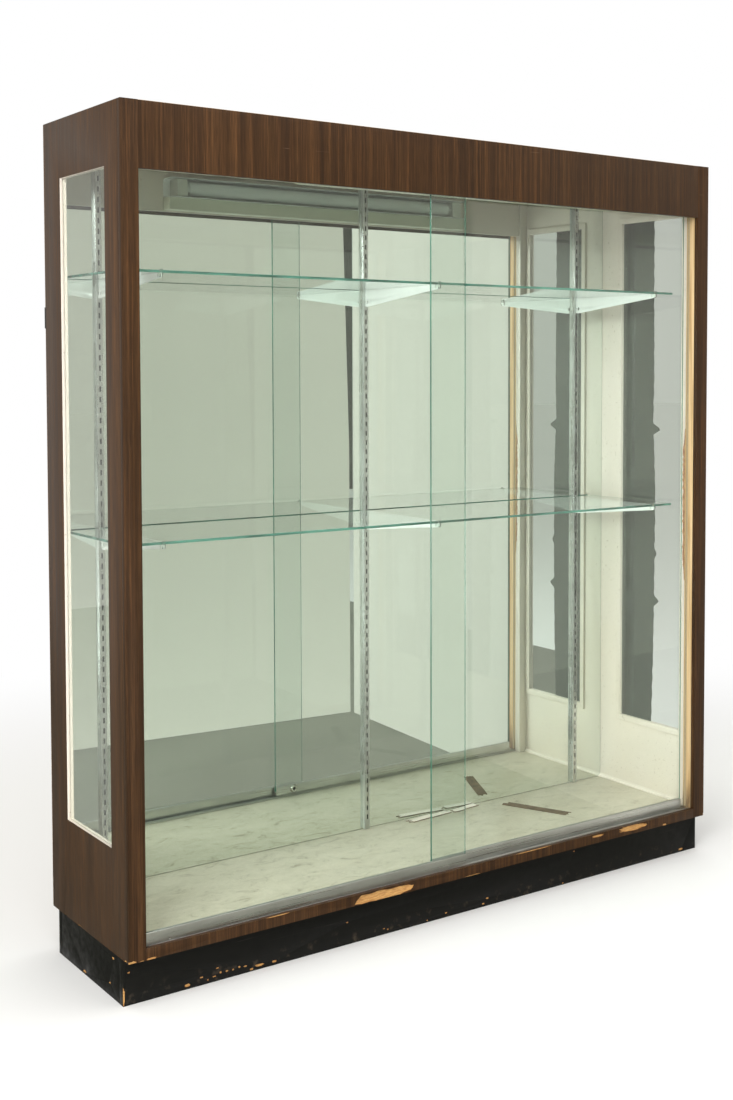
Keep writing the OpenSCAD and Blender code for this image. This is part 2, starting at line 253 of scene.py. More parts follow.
# %% Node helpers
class Finish:
    def __init__(self, name, roughness=0.5, metallic=0.0, colour=(0.8, 0.8, 0.8)):
        self.material = bpy.data.materials.new(name)
        self.material.use_nodes = True
        self.nodes = self.material.node_tree.nodes
        self.links = self.material.node_tree.links
        self.shader = self.nodes["Principled BSDF"]
        self.set(self.shader, "Roughness", roughness)
        self.set(self.shader, "Metallic", metallic)
        self.set(self.shader, "Base Color", (*colour, 1))
        self.coordinates = self.nodes.new("ShaderNodeTexCoord")

    def set(self, node, socket, value):
        """A number or colour is set on the socket, and another node's output is linked."""
        if isinstance(value, bpy.types.NodeSocket):
            self.links.new(value, node.inputs[socket])
        else:
            node.inputs[socket].default_value = value

    def stretched(self, scale, turn):
        mapping = self.nodes.new("ShaderNodeMapping")
        mapping.inputs["Scale"].default_value = scale
        mapping.inputs["Rotation"].default_value = turn
        self.links.new(self.coordinates.outputs["Object"], mapping.inputs["Vector"])
        return mapping.outputs["Vector"]

    def noise(self, scale, detail=4, roughness=0.5, distortion=0.0, turn=(0, 0, 0)):
        noise = self.nodes.new("ShaderNodeTexNoise")
        self.links.new(self.stretched(scale, turn), noise.inputs["Vector"])
        for socket, value in (("Scale", 1.0), ("Detail", detail), ("Roughness", roughness),
                              ("Distortion", distortion)):
            noise.inputs[socket].default_value = value
        return noise.outputs["Fac"]

    def ramp(self, factor, *stops):
        ramp = self.nodes.new("ShaderNodeValToRGB")
        while len(ramp.color_ramp.elements) < len(stops):
            ramp.color_ramp.elements.new(0.5)
        for element, (position, colour) in zip(ramp.color_ramp.elements, stops):
            element.position = position
            element.color = (*colour, 1)
        self.links.new(factor, ramp.inputs["Fac"])
        return ramp.outputs["Color"]

    def grey(self, factor, *stops):
        return self.ramp(factor, *[(at, (value,) * 3) for at, value in stops])

    def mix(self, factor, first, second, blend="MIX"):
        mix = self.nodes.new("ShaderNodeMix")
        mix.data_type, mix.blend_type = "RGBA", blend
        for socket, value in ((0, factor), (6, first), (7, second)):
            if isinstance(value, bpy.types.NodeSocket):
                self.links.new(value, mix.inputs[socket])
            else:
                mix.inputs[socket].default_value = value if socket == 0 else (*value, 1)
        return mix.outputs[2]

    def maths(self, operation, first, second=0.0):
        maths = self.nodes.new("ShaderNodeMath")
        maths.operation = operation
        for socket, value in ((0, first), (1, second)):
            self.set(maths, socket, value)
        return maths.outputs[0]

    def part(self, axis):
        parts = self.nodes.new("ShaderNodeSeparateXYZ")
        self.links.new(self.coordinates.outputs["Object"], parts.inputs[0])
        return parts.outputs[axis]

    def band(self, axis, low, high, feather=0.002):
        """1 between low and high along an axis, fading over the feather."""
        ranges = []
        for edge, values in ((low, (0, 1)), (high, (1, 0))):
            ramp = self.nodes.new("ShaderNodeMapRange")
            ramp.inputs["From Min"].default_value = edge - feather / 2
            ramp.inputs["From Max"].default_value = edge + feather / 2
            ramp.inputs["To Min"].default_value, ramp.inputs["To Max"].default_value = values
            self.links.new(self.part(axis), ramp.inputs["Value"])
            ranges.append(ramp.outputs[0])
        return self.maths("MULTIPLY", *ranges)

    def bump(self, height, strength=0.2, distance=0.0005):
        bump = self.nodes.new("ShaderNodeBump")
        bump.inputs["Strength"].default_value = strength
        bump.inputs["Distance"].default_value = distance
        self.links.new(height, bump.inputs["Height"])
        self.links.new(bump.outputs["Normal"], self.shader.inputs["Normal"])

    def colour(self, value):
        self.set(self.shader, "Base Color", value)

    def rough(self, value):
        self.set(self.shader, "Roughness", value)


# %% [markdown]
# ### Walnut laminate
# The boards carry a printed walnut with its grain upright, also across the header. Three
# noises stretched along the grain make it: broad bands, reddish streaks and fine dark pores.
# A fourth, turned a little, rubs pale hairlines of wear into it.

# %% Walnut laminate
def walnut_finish(name, light=0.80, grain=(44, 44, 1.1), gloss=0.22):
    f = Finish(name, roughness=0.42)
    f.shader.inputs["Specular IOR Level"].default_value = gloss
    bands = f.noise(grain, detail=6, roughness=0.68, distortion=0.45)
    streaks = f.noise((grain[0] * 4.5, grain[1] * 4.5, grain[2] * 1.6), detail=6, roughness=0.7,
                      distortion=0.2)
    pores = f.noise((grain[0] * 30, grain[1] * 30, grain[2] * 14), detail=2, roughness=0.6)
    tone = [tuple(c * light for c in colour) for colour in
            ((0.024, 0.011, 0.004), (0.058, 0.025, 0.008), (0.105, 0.046, 0.014),
             (0.150, 0.072, 0.025))]
    base = f.ramp(bands, (0.30, tone[0]), (0.45, tone[1]), (0.58, tone[2]), (0.72, tone[3]))
    reddish = (0.170 * light, 0.070 * light, 0.020 * light)
    red = f.ramp(streaks, (0.36, tone[0]), (0.52, tone[1]), (0.66, reddish))
    wood = f.mix(0.55, base, red)
    wood = f.mix(f.grey(pores, (0.47, 0.0), (0.62, 0.7)), wood, tone[0])
    rubs = f.noise((3, 3, 60), detail=3, roughness=0.8, turn=(0.6, 0.3, 0))
    wood = f.mix(f.grey(rubs, (0.715, 0.0), (0.75, 0.35)), wood, (0.32, 0.20, 0.13))
    f.colour(wood)
    f.rough(f.grey(streaks, (0.3, 0.34), (0.7, 0.52)))
    f.bump(pores, 0.25, 0.0002)
    return f.material


walnut = walnut_finish("walnut_laminate")
# The end panels get a lighter copy of the same laminate: the lighter tone is painted light, for
# the brighter light that falls on the sides.
walnut_side_lit = walnut_finish("walnut_laminate_side_painted_lighter", 0.95, (40, 36, 1.0), 0.42)
walnut_top = walnut_finish("walnut_laminate_top", grain=(1.1, 44, 44))
print("made", walnut.name, walnut_side_lit.name, walnut_top.name)

# %% [markdown]
# ### Bare wood, chipboard and paint
# Where laminate has chipped away an orange chipboard core shows. The jamb posts were never
# painted, so they have a plain yellow softwood grain. The stops, beads and end panels are
# cream inside, with a satin brush coat that has yellowed in patches.

# %% Bare wood, chipboard and cream paint
def grained(name, dark, light, grain=(90, 90, 3), roughness=0.7):
    f = Finish(name, roughness)
    lines = f.noise(grain, detail=5, roughness=0.6, distortion=0.4)
    flecks = f.noise(tuple(4 * g for g in grain), detail=2)
    wood = f.ramp(lines, (0.35, dark), (0.6, light))
    f.colour(f.mix(f.grey(flecks, (0.55, 0.0), (0.7, 0.5)), wood, tuple(c * 0.55 for c in dark)))
    f.bump(lines, 0.3, 0.0004)
    return f.material


bare_wood = grained("bare_wood", (0.50, 0.30, 0.12), (0.74, 0.53, 0.28))
chip_core = grained("chipboard_core", (0.38, 0.17, 0.045), (0.60, 0.34, 0.11), (60, 300, 300))
torn_wood = grained("torn_paint", (0.16, 0.035, 0.015), (0.62, 0.38, 0.20), (700, 700, 60))
raw_edge = grained("raw_board_edge", (0.36, 0.24, 0.14), (0.55, 0.42, 0.28), (120, 120, 300))


def cream_finish(name, colour=(0.78, 0.695, 0.61), yellow=(0.72, 0.62, 0.49)):
    f = Finish(name, roughness=0.42)
    patches = f.noise((2.2, 2.2, 1.4), detail=3)
    brush = f.noise((5, 5, 150), detail=3)
    specks = f.noise((150, 150, 150), detail=1)
    paint = f.mix(f.grey(patches, (0.45, 0.0), (0.75, 0.5)), colour, yellow)
    f.colour(f.mix(f.grey(specks, (0.70, 0.0), (0.76, 0.5)), paint, (0.30, 0.22, 0.12)))
    f.rough(f.grey(brush, (0.3, 0.34), (0.7, 0.5)))
    f.bump(brush, 0.12, 0.0003)
    return f.material


cream_paint = cream_finish("cream_paint")
print("made", bare_wood.name, chip_core.name, raw_edge.name, cream_paint.name)

# %% [markdown]
# ### Marbled floor lining
# A pale vinyl sheet with soft grey-brown veins that run with the case, lightly soiled.

# %% Marbled lining
def lining_finish():
    f = Finish("marbled_lining", roughness=0.35)
    veins = f.noise((16, 24, 24), detail=9, roughness=0.80, distortion=0.8)
    clouds = f.noise((3, 5, 5), detail=6, roughness=0.7)
    grit = f.noise((220, 220, 220), detail=1)
    base = f.ramp(veins, (0.36, (0.36, 0.31, 0.22)), (0.44, (0.58, 0.53, 0.41)),
                  (0.60, (0.66, 0.60, 0.48)))
    base = f.mix(f.grey(clouds, (0.45, 0.0), (0.72, 0.32)), base, (0.52, 0.46, 0.34))
    f.colour(f.mix(f.grey(grit, (0.72, 0.0), (0.78, 0.6)), base, (0.22, 0.18, 0.12)))
    f.rough(f.grey(clouds, (0.3, 0.25), (0.7, 0.42)))
    return f.material


marbled = lining_finish()
print("made", marbled.name)

# %% [markdown]
# ### Black plinth, metals and small stuff
# The plinth is black and scuffed grey along its length. Aluminium and zinc are metals whose
# brushing is a noise stretched along the bar, and it drives the roughness, so that highlights
# break up.

# %% Black laminate and metals
def black_finish():
    f = Finish("black_laminate", roughness=0.4)
    scuffs = f.noise((4, 4, 190), detail=6, roughness=0.8, distortion=0.15)
    dust = f.noise((60, 60, 60), detail=5)
    near_floor = f.band(2, -0.01, 0.03, 0.03)
    base = f.mix(f.grey(scuffs, (0.62, 0.0), (0.70, 0.30)), (0.006, 0.006, 0.005),
                 (0.060, 0.055, 0.045))
    foot_mark = f.maths("MULTIPLY", f.grey(dust, (0.58, 0.0), (0.78, 0.35)), near_floor)
    f.colour(f.mix(foot_mark, base, (0.16, 0.12, 0.08)))
    f.shader.inputs["Specular IOR Level"].default_value = 0.16
    f.rough(f.grey(dust, (0.3, 0.35), (0.7, 0.6)))
    f.bump(scuffs, 0.15, 0.0003)
    return f.material


def metal_finish(name, colour, grain, roughness=(0.22, 0.42), spots=0.3, dull=0.55):
    f = Finish(name, metallic=1.0)
    brushed = f.noise(grain, detail=4, roughness=0.7)
    stains = f.noise((9, 9, 9), detail=4)
    f.colour(f.mix(f.grey(stains, (0.45, 0.0), (0.75, spots)), colour,
                   tuple(c * dull for c in colour)))
    f.rough(f.grey(brushed, (0.3, roughness[0]), (0.7, roughness[1])))
    f.bump(brushed, 0.08, 0.0002)
    return f.material


def plain_finish(name, colour, roughness, flecks=(0.6, 0.6, 0.6), share=0.25, size=60):
    f = Finish(name, roughness)
    spots = f.noise((size,) * 3, detail=4, roughness=0.6)
    f.colour(f.mix(f.grey(spots, (0.5, 0.0), (0.75, share)), colour,
                   tuple(c * k for c, k in zip(colour, flecks))))
    f.bump(spots, 0.08, 0.0003)
    return f.material


black_laminate = black_finish()
aluminium = metal_finish("satin_aluminium", (0.62, 0.63, 0.61), (3, 300, 300))
zinc = metal_finish("zinc_plated_steel", (0.60, 0.62, 0.60), (60, 60, 5), (0.18, 0.38), 0.5, 0.4)
nickel = metal_finish("nickel_ferrule", (0.66, 0.65, 0.60), (90, 90, 90), (0.15, 0.35))
white_steel = plain_finish("white_enamel", (0.93, 0.93, 0.90), 0.25, share=0.10)
cream_steel = plain_finish("cream_enamel", (0.70, 0.69, 0.54), 0.3, share=0.15)
black_steel = plain_finish("black_steel", (0.012, 0.012, 0.012), 0.45, (4, 4, 4), 0.4)
nylon = plain_finish("nylon", (0.72, 0.71, 0.64), 0.4, share=0.2)
holder_plastic = plain_finish("lamp_holder_plastic", (0.66, 0.66, 0.58), 0.35, share=0.3)
felt = plain_finish("aged_felt", (0.42, 0.33, 0.20), 0.95, (0.5, 0.5, 0.5), 0.6, 400)
hardboard = plain_finish("hardboard", (0.23, 0.14, 0.075), 0.75, (0.6, 0.6, 0.6), 0.6, 90)
lamp_white = plain_finish("lamp_phosphor", (0.82, 0.84, 0.82), 0.2, share=0.06)
film = plain_finish("dark_film", (0.050, 0.052, 0.042), 0.38, (1.7, 1.7, 1.7), 0.5, 40)
print("made", len(bpy.data.materials), "finishes")

# %% [markdown]
# ### Glass and the mirror
# Float glass is clear through its face and green through its edge. The face is a Principled
# shader that transmits, tinted a little, and for shadow rays it steps aside for a Transparent
# one, so that lamps light what is behind a pane. The ground edges get their own finish.

# %% Glass, mirror and clear plastic
def glass_finish(name, tint, roughness=0.0, ior=1.5):
    f = Finish(name, roughness, colour=tint)
    f.shader.inputs["Transmission Weight"].default_value = 1.0
    f.shader.inputs["IOR"].default_value = ior
    see_through = f.nodes.new("ShaderNodeBsdfTransparent")
    see_through.inputs["Color"].default_value = (*tint, 1)
    ray = f.nodes.new("ShaderNodeLightPath")
    mix = f.nodes.new("ShaderNodeMixShader")
    f.links.new(ray.outputs["Is Shadow Ray"], mix.inputs[0])
    f.links.new(f.shader.outputs[0], mix.inputs[1])
    f.links.new(see_through.outputs[0], mix.inputs[2])
    f.links.new(mix.outputs[0], f.nodes["Material Output"].inputs["Surface"])
    return f.material


def edge_finish(name, dark, light, along=(6, 60, 60)):
    f = Finish(name, roughness=0.12)
    glints = f.noise(along, detail=4, roughness=0.7)
    f.colour(f.ramp(glints, (0.38, dark), (0.62, light)))
    f.shader.inputs["Transmission Weight"].default_value = 0.25
    f.shader.inputs["IOR"].default_value = 1.5
    return f.material


door_glass = glass_finish("door_glass", (0.925, 0.968, 0.945))
shelf_glass = glass_finish("shelf_glass", (0.94, 0.98, 0.96))
window_glass = glass_finish("window_glass", (0.93, 0.965, 0.94))
clear_plastic = glass_finish("clear_plastic", (0.90, 0.93, 0.90), 0.08, 1.46)
shelf_edge = edge_finish("shelf_edge", (0.012, 0.085, 0.060), (0.11, 0.37, 0.28))
door_edge = edge_finish("door_edge", (0.02, 0.11, 0.075), (0.07, 0.27, 0.19), (60, 60, 4))


def mirror_finish():
    f = Finish("silvered_mirror", roughness=0.0, metallic=1.0)
    low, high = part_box("mirror_sheet")
    rim = f.maths("SUBTRACT", 1.0, f.maths("MULTIPLY",
                  f.band(2, low.z + MM, high.z - MM), f.band(0, low.x + MM, high.x - MM)))
    f.colour(f.mix(rim, (0.80, 0.85, 0.81), (0.10, 0.085, 0.05)))
    return f.material


mirror = mirror_finish()
print("made", door_glass.name, shelf_glass.name, mirror.name)

# %% [markdown]
# ## The room round it
# The case stands on a plain pale floor. Its mirror would otherwise show only more pale floor,
# so two grey concrete sheets lie just above it, in front and at the left. Pale boards stand
# in front and at the right, with a dark gap between them, for the mirror to look at. The
# camera never sees these directly, only in mirror and glass. All of this is stage.

# %% Stage finishes
def stage_finish(name, colour, roughness=0.9, flecks=None):
    f = Finish(name, roughness, colour=colour)
    if flecks:
        grit = f.noise((140, 140, 140), detail=2)
        clouds = f.noise((1.1, 1.1, 1.1), detail=5)
        base = f.mix(f.grey(clouds, (0.35, 0.0), (0.65, 1.0)), colour,
                     tuple(c * 0.72 for c in colour))
        f.colour(f.mix(f.grey(grit, (0.66, 0.0), (0.69, 1.0)), base, flecks))
    return f.material


pale = stage_finish("stage_pale", (0.94, 0.94, 0.93))
front_white = stage_finish("stage_front_white", (0.88, 0.85, 0.76))
right_white = stage_finish("stage_right_white", (0.64, 0.62, 0.56))
gap_dark = stage_finish("stage_gap_dark", (0.05, 0.05, 0.045))
concrete = stage_finish("stage_concrete", (0.20, 0.205, 0.165), 0.6, (0.50, 0.50, 0.42))
print("made stage finishes, from", pale.name, "to", concrete.name)


# %% [markdown]
# Each sheet is one plane whose four corners are set. The camera, the soft light on the case
# and the shadows leave out all but the floor, so that the boards only show as reflections.

# %% Stage sheets and boards
def screen(name, corners, finish):
    only()
    bpy.ops.mesh.primitive_plane_add(size=1)
    piece = named(bpy.context.active_object, name)
    for vertex, k in zip(piece.data.vertices, (0, 1, 3, 2)):
        vertex.co = corners[k]
    made_of(piece, finish)
    return piece


def flat(x0, y0, x1, y1, z):
    return [(x0, y0, z), (x1, y0, z), (x1, y1, z), (x0, y1, z)]


def upright(x0, y0, x1, y1, z0, z1):
    return [(x0, y0, z0), (x1, y1, z0), (x1, y1, z1), (x0, y0, z1)]


FLOOR_REACH = 40
SHEET_Z = 0.4 * MM
screen("stage_floor", flat(-FLOOR_REACH, -FLOOR_REACH, FLOOR_REACH, FLOOR_REACH, 0), pale)
left_concrete = screen("stage_left_concrete", flat(-5, -0.24, -0.9, 5, SHEET_Z), concrete)
left_concrete.visible_transmission = False
only_in_mirror = [
    left_concrete,
    screen("stage_concrete_floor", flat(-2.5, -4, 2.5, -0.24, SHEET_Z), concrete),
    screen("stage_front_board", [(-1.6, -1.66, 0), (0.985, -1.44, 0), (0.983, -1.44, 1.1),
                                 (-1.6, -1.66, 1.1)], front_white),
    screen("stage_front_board_top", [(-1.6, -1.66, 1.1), (0.983, -1.44, 1.1),
                                     (0.945, -1.44, 2.4), (-1.6, -1.66, 2.4)], front_white),
    screen("stage_right_board", upright(0.99, -1.42, 0.905, -0.235, 0, 2.4), right_white),
    screen("stage_dark_gap", upright(0.90, -1.60, 1.10, -1.60, 0.9, 2.5), gap_dark)]
for piece in only_in_mirror:
    piece.visible_camera = piece.visible_diffuse = piece.visible_shadow = False
print("seen only in mirror and glass:", [piece.name for piece in only_in_mirror])

# %% [markdown]
# ### Glow at the horizon
# Far from the case the floor would meet the sky in a visible line. A sheet just above the
# floor, clear near the case and glowing white far away, hides it. Only the camera sees it.

# %% Glow that hides the horizon
glow = bpy.data.materials.new("stage_horizon_glow")
glow.use_nodes = True
nodes, links = glow.node_tree.nodes, glow.node_tree.links
nodes.clear()
place = nodes.new("ShaderNodeTexCoord")
reach = nodes.new("ShaderNodeVectorMath")
reach.operation = "LENGTH"
fade = nodes.new("ShaderNodeMapRange")
fade.interpolation_type = "SMOOTHSTEP"
fade.inputs["From Min"].default_value, fade.inputs["From Max"].default_value = 1.3, 3.4
white, clear = nodes.new("ShaderNodeEmission"), nodes.new("ShaderNodeBsdfTransparent")
mix, end = nodes.new("ShaderNodeMixShader"), nodes.new("ShaderNodeOutputMaterial")
for start, stop in ((place.outputs["Object"], reach.inputs[0]),
                    (reach.outputs["Value"], fade.inputs["Value"]),
                    (fade.outputs[0], mix.inputs[0]), (clear.outputs[0], mix.inputs[1]),
                    (white.outputs[0], mix.inputs[2]), (mix.outputs[0], end.inputs[0])):
    links.new(start, stop)
horizon = screen("stage_horizon", flat(-FLOOR_REACH, -FLOOR_REACH, FLOOR_REACH, FLOOR_REACH,
                                       2 * SHEET_Z), glow)
horizon.visible_diffuse = horizon.visible_glossy = False
horizon.visible_transmission = horizon.visible_shadow = False
print("made", horizon.name)

# %% [markdown]
# ### Light
# One large soft lamp stands at the front left, a weak low one nearer by lights the ceiling
# and the undersides of the brackets, and a wide one overhead keeps the floor pale. The sky
# gives the rest: it looks white but lights the case at about half of that, so that dark wood
# and glass do not reflect a white room.

# %% Lights
world = bpy.data.worlds.new("studio_sky")
world.use_nodes = True
sky, links = world.node_tree.nodes, world.node_tree.links
seen = sky.new("ShaderNodeLightPath")
strength = sky.new("ShaderNodeMapRange")
strength.inputs["To Min"].default_value, strength.inputs["To Max"].default_value = 0.55, 1.0
links.new(seen.outputs["Is Camera Ray"], strength.inputs["Value"])
links.new(strength.outputs[0], sky["Background"].inputs["Strength"])
tone = sky.new("ShaderNodeMix")
tone.data_type = "RGBA"
tone.inputs[6].default_value, tone.inputs[7].default_value = (1, 0.985, 0.93, 1), (1, 1, 1, 1)
links.new(seen.outputs["Is Camera Ray"], tone.inputs[0])
links.new(tone.outputs[2], sky["Background"].inputs["Color"])
bpy.context.scene.world = world
bpy.context.scene.view_settings.view_transform = "Standard"


def lamp(name, place, aim, width, height, watts):
    data = bpy.data.lights.new(name, "AREA")
    data.shape, data.size, data.size_y = "RECTANGLE", width, height
    data.energy = watts
    light = bpy.data.objects.new(name, data)
    bpy.context.scene.collection.objects.link(light)
    light.location = place
    light.rotation_euler = (Vector(aim) - Vector(place)).to_track_quat("-Z", "Y").to_euler()
    return light


lamp("key_lamp", (-3.9, -2.9, 2.9), (0.1, 0, 1.1), 2.0, 1.6, 140)
lamp("bounce_lamp", (-1.7, -2.5, 0.5), (0.2, 0.1, 1.8), 1.2, 0.8, 16)
lamp("top_lamp", (0.3, -1.0, 5.0), (0.3, -1.0, 0), 5.0, 5.0, 160)

# %% [markdown]
# ## Boards of the case
# The case is chipboard faced with laminate. Each board is a block at its place, cut and then
# softened by a narrow bevel, because a real laminated edge is filed and catches the light.
# Damage is cut with a jagged tool, so that a chip is really missing and shows the core.

# %% Chips
def rounder(value, power):
    """A power that keeps the sign: a round outline is drawn out towards a box."""
    return math.copysign(abs(value) ** power, value)


def chip(face, centre, size, depth=1.6, seed=1, points=40):
    """A jagged cutter for the front (-Y) or left (-X) face: centre is where the chip sits on
    that face, and size its length and height."""
    dice = random.Random(seed)
    x, y, z = centre
    middle, surface, axis = (x, y, "Y") if face == "front" else (y, x, "X")
    outline = []
    for i in range(points):
        angle = math.tau * i / points
        reach = 1 + dice.uniform(-0.22, 0.16)
        across = rounder(math.cos(angle), 0.55) * reach * size[0] / 2
        up = rounder(math.sin(angle), 0.8) * reach * size[1] / 2
        outline.append((middle + across, z + up))
    tool = profile("chip", outline, axis, surface - 4 * MM, surface + depth * MM)
    return made_of(tool, chip_core)


print("chips show", chip_core.name)

# %% [markdown]
# ### End panels
# Each end has a tall window opening with a rebate behind it for the pane. The outside is
# laminate, the inside and the reveal are painted cream, and the edges are raw board.

# %% End panels
BEAD_COVER = Vector((0, 7.7 * MM, 7.7 * MM))


def end_panel(side, word):
    low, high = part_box(f"end_panel_{word}")
    pane_low, pane_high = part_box(f"window_glass_{word}")
    play = Vector((0, 0.3 * MM, 0.3 * MM))
    panel = made_of(block(f"end_board_{word}", low, high), walnut_side_lit)
    hole_low, hole_high = pane_low + BEAD_COVER, pane_high - BEAD_COVER
    hole_low.x, hole_high.x = low.x - 0.01, high.x + 0.01
    rebate_low, rebate_high = pane_low - play, pane_high + play
    if side < 0:
        rebate_low.x, rebate_high.x = pane_low.x, high.x + 0.01
    else:
        rebate_low.x, rebate_high.x = low.x - 0.01, pane_high.x
    cut(panel, block("opening", hole_low, hole_high), block("rebate", rebate_low, rebate_high))
    if side < 0:
        cut(panel, chip("left", (low.x, low.y + 2 * MM, low.z + 1 * MM), (0.016, 0.007), seed=3),
            chip("left", (low.x, 0.05, low.z), (0.020, 0.005), seed=5),
            chip("left", (low.x, 0.14, low.z), (0.012, 0.004), seed=6))
    soften(panel, 0.5, 2)
    outside = low.x if side < 0 else high.x
    finish_with(
        panel,
        (cream_paint, lambda c, n: abs(c.x - outside) > 0.7 * MM and (
            n.x * side < -0.3 or hole_low.y - MM < c.y < hole_high.y + MM
            and hole_low.z - MM < c.z < hole_high.z + MM)),
        (raw_edge, lambda c, n: abs(n.z) > 0.9 and not low.z + 0.1 < c.z < high.z - 0.1
            or abs(n.y) > 0.9 and not low.y + 0.01 < c.y < high.y - 0.01))
    return stands_for(panel, "case", "walnut_laminate", f"end_panel_{word}")


end_panel(-1, "left")
end_panel(1, "right")

# %% [markdown]
# ### Face frame
# Two stiles, a deep header and a low rail make the front. A fine bevel makes their joints
# show. The rail has lost part of its laminate edge to shoes and brooms: two long chips show
# orange core, and the top arris is rubbed to wood.

# %% Face frame
LONG_CHIP = [(-308, 3), (-303, 12), (-297, 16), (-290, 22), (-262, 21), (-240, 23), (-205, 20),
             (-180, 21.5), (-150, 19), (-143, 16), (-135, 16.5), (-139, 9), (-146, 5),
             (-165, 3), (-180, -1), (-200, -0.5), (-235, -1), (-262, 2), (-285, 1)]


def long_chip(low, corners, depth=2.2, steps=4):
    """One long chip drawn in mm, its sides broken up by a seeded jitter."""
    dice = random.Random(2)
    outline = []
    for (x0, z0), (x1, z1) in zip(corners, corners[1:] + corners[:1]):
        for k in range(steps):
            wander = dice.uniform(-0.7, 0.7) if k else 0
            outline.append(((x0 + (x1 - x0) * k / steps) * MM,
                            low.z + (z0 + (z1 - z0) * k / steps + wander) * MM))
    tool = profile("chip", outline, "Y", low.y - 4 * MM, low.y + depth * MM)
    return made_of(tool, chip_core)


def face_board(node, *chips, wear_and_highlight=None):
    low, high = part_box(node)
    board = made_of(block(f"{node}_board", low, high), walnut)
    cut(board, *[chip("front", (x, low.y, z), size, depth, seed)
                 for x, z, size, depth, seed in chips])
    if node == "bottom_rail":
        cut(board, long_chip(low, LONG_CHIP))
    soften(board, 0.7, 2)
    if wear_and_highlight:
        finish_with(board, wear_and_highlight)
    return stands_for(board, "case", "walnut_laminate", node)


# %% [markdown]
# The boards are one helper with different damage. A chip is given by its place along the
# board, its height, its size, its depth in mm and a seed for its jagged outline.

# %% Stiles, header and rail
left_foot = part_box("stile_left")[0]
face_board("stile_left",
           (left_foot.x + 6 * MM, left_foot.z + 1 * MM, (0.022, 0.010), 2.5, 11),
           (left_foot.x + 30 * MM, left_foot.z, (0.010, 0.004), 1.2, 12))
face_board("stile_right",
           (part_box("stile_right")[1].x, left_foot.z + 4 * MM, (0.004, 0.008), 1.2, 15))
header_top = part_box("header")[1].z
# The header's top faces and upper arris get the pale raw-board finish: partly its real raw top
# edge, partly a painted highlight along the arris.
face_board("header", wear_and_highlight=(
    raw_edge, lambda c, n: c.z > header_top - 0.9 * MM and n.z > 0.2))
rail_low, rail_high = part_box("bottom_rail")
face_board("bottom_rail",
           (0.608, rail_low.z + 17 * MM, (0.098, 0.014), 1.8, 24),
           (0.478, rail_low.z + 19 * MM, (0.040, 0.006), 1.2, 25),
           (0.732, rail_low.z + 2 * MM, (0.014, 0.005), 1.2, 26),
           (-0.836, rail_low.z + 2 * MM, (0.022, 0.004), 1.2, 27),
           (0.05, rail_low.z, (0.05, 0.004), 1.0, 28),
           (-0.52, rail_high.z, (0.06, 0.003), 0.8, 29),
           (0.25, rail_high.z, (0.12, 0.003), 0.8, 30),
           wear_and_highlight=(bare_wood, lambda c, n: 0.3 < n.z < 0.95 and n.y < -0.2
                 and c.z > rail_high.z - 1.2 * MM))

# %% [markdown]
# ### Posts behind the stiles
# A softwood jamb stands behind each stile and a painted stop behind that. The right stop has
# been torn where tape or a catch was pulled off, so a strip of raw wood shows with a ragged,
# dark red rim.

# %% Posts
def tear_cutter(low, high, steps=60):
    """A long strip with a ragged back edge that thins out at both ends."""
    bottom, reach = (low.z + high.z) / 2 - 0.25, 0.44
    dice = random.Random(8)
    front, back = [], []
    for i in range(steps):
        z = bottom + reach * i / (steps - 1)
        thin = min(1, 6 * min(i, steps - 1 - i) / (steps - 1))
        front.append((low.y - 2 * MM, z))
        back.append((low.y + (1.5 + thin * (7.0 + dice.uniform(-2.4, 2.4))) * MM, z))
    tool = profile("tear", front + back[::-1], "X", low.x - 2 * MM, low.x + 1.6 * MM)
    return made_of(tool, torn_wood)


def post(node, finish, slot):
    low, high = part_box(node)
    piece = made_of(block(f"{node}_post", low, high), finish)
    if node == "stop_right":
        cut(piece, tear_cutter(low, high))
    soften(piece, 0.6, 2)
    return stands_for(piece, "case", slot, node)


def dark_foot_finish():
    f = Finish("bare_wood_dark_foot", 0.75)
    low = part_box("jamb_right")[0]
    lines = f.noise((90, 90, 3), detail=5, roughness=0.6, distortion=0.4)
    blots = f.noise((30, 30, 12), detail=5, roughness=0.7)
    wood = f.ramp(lines, (0.35, (0.50, 0.31, 0.13)), (0.6, (0.72, 0.52, 0.28)))
    # Towards the foot of the post the wood turns dark in blots.
    foot = f.band(2, low.z - 0.02, low.z + 0.045, 0.09)
    foot_mark = f.maths("MULTIPLY", foot, f.grey(blots, (0.35, 0.2), (0.6, 1.0)))
    f.colour(f.mix(foot_mark, wood, (0.045, 0.032, 0.022)))
    f.bump(lines, 0.3, 0.0004)
    return f.material


post("jamb_left", bare_wood, "bare_wood")
post("jamb_right", dark_foot_finish(), "bare_wood")
post("stop_left", cream_paint, "cream_paint")
post("stop_right", cream_paint, "cream_paint")

# %% [markdown]
# ### Top, deck and back
# These hold the ends apart. The top's outside is laminate like the front, its underside is
# painted, and the back is thin hardboard nailed on every 15 cm or so.

# %% Top and deck
def wide_board(node, finish, slot, *tests, width=0.8):
    low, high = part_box(node)
    board = soften(made_of(block(f"{node}_board", low, high), finish), width, 2)
    finish_with(board, *tests)
    return stands_for(board, "case", slot, node)


wide_board("top_panel", walnut_top, "walnut_laminate",
           (cream_paint, lambda c, n: n.z < -0.3), (raw_edge, lambda c, n: abs(n.y) > 0.9))
wide_board("deck_panel", cream_paint, "walnut_laminate",
           (hardboard, lambda c, n: n.z < -0.3), (raw_edge, lambda c, n: abs(n.y) > 0.9))

# %% [markdown]
# The hardboard back is nailed round its edge. One nail head and one pressed pit are turned
# and copied along the edge, and the pits are cut as one tool, which keeps the board clean.

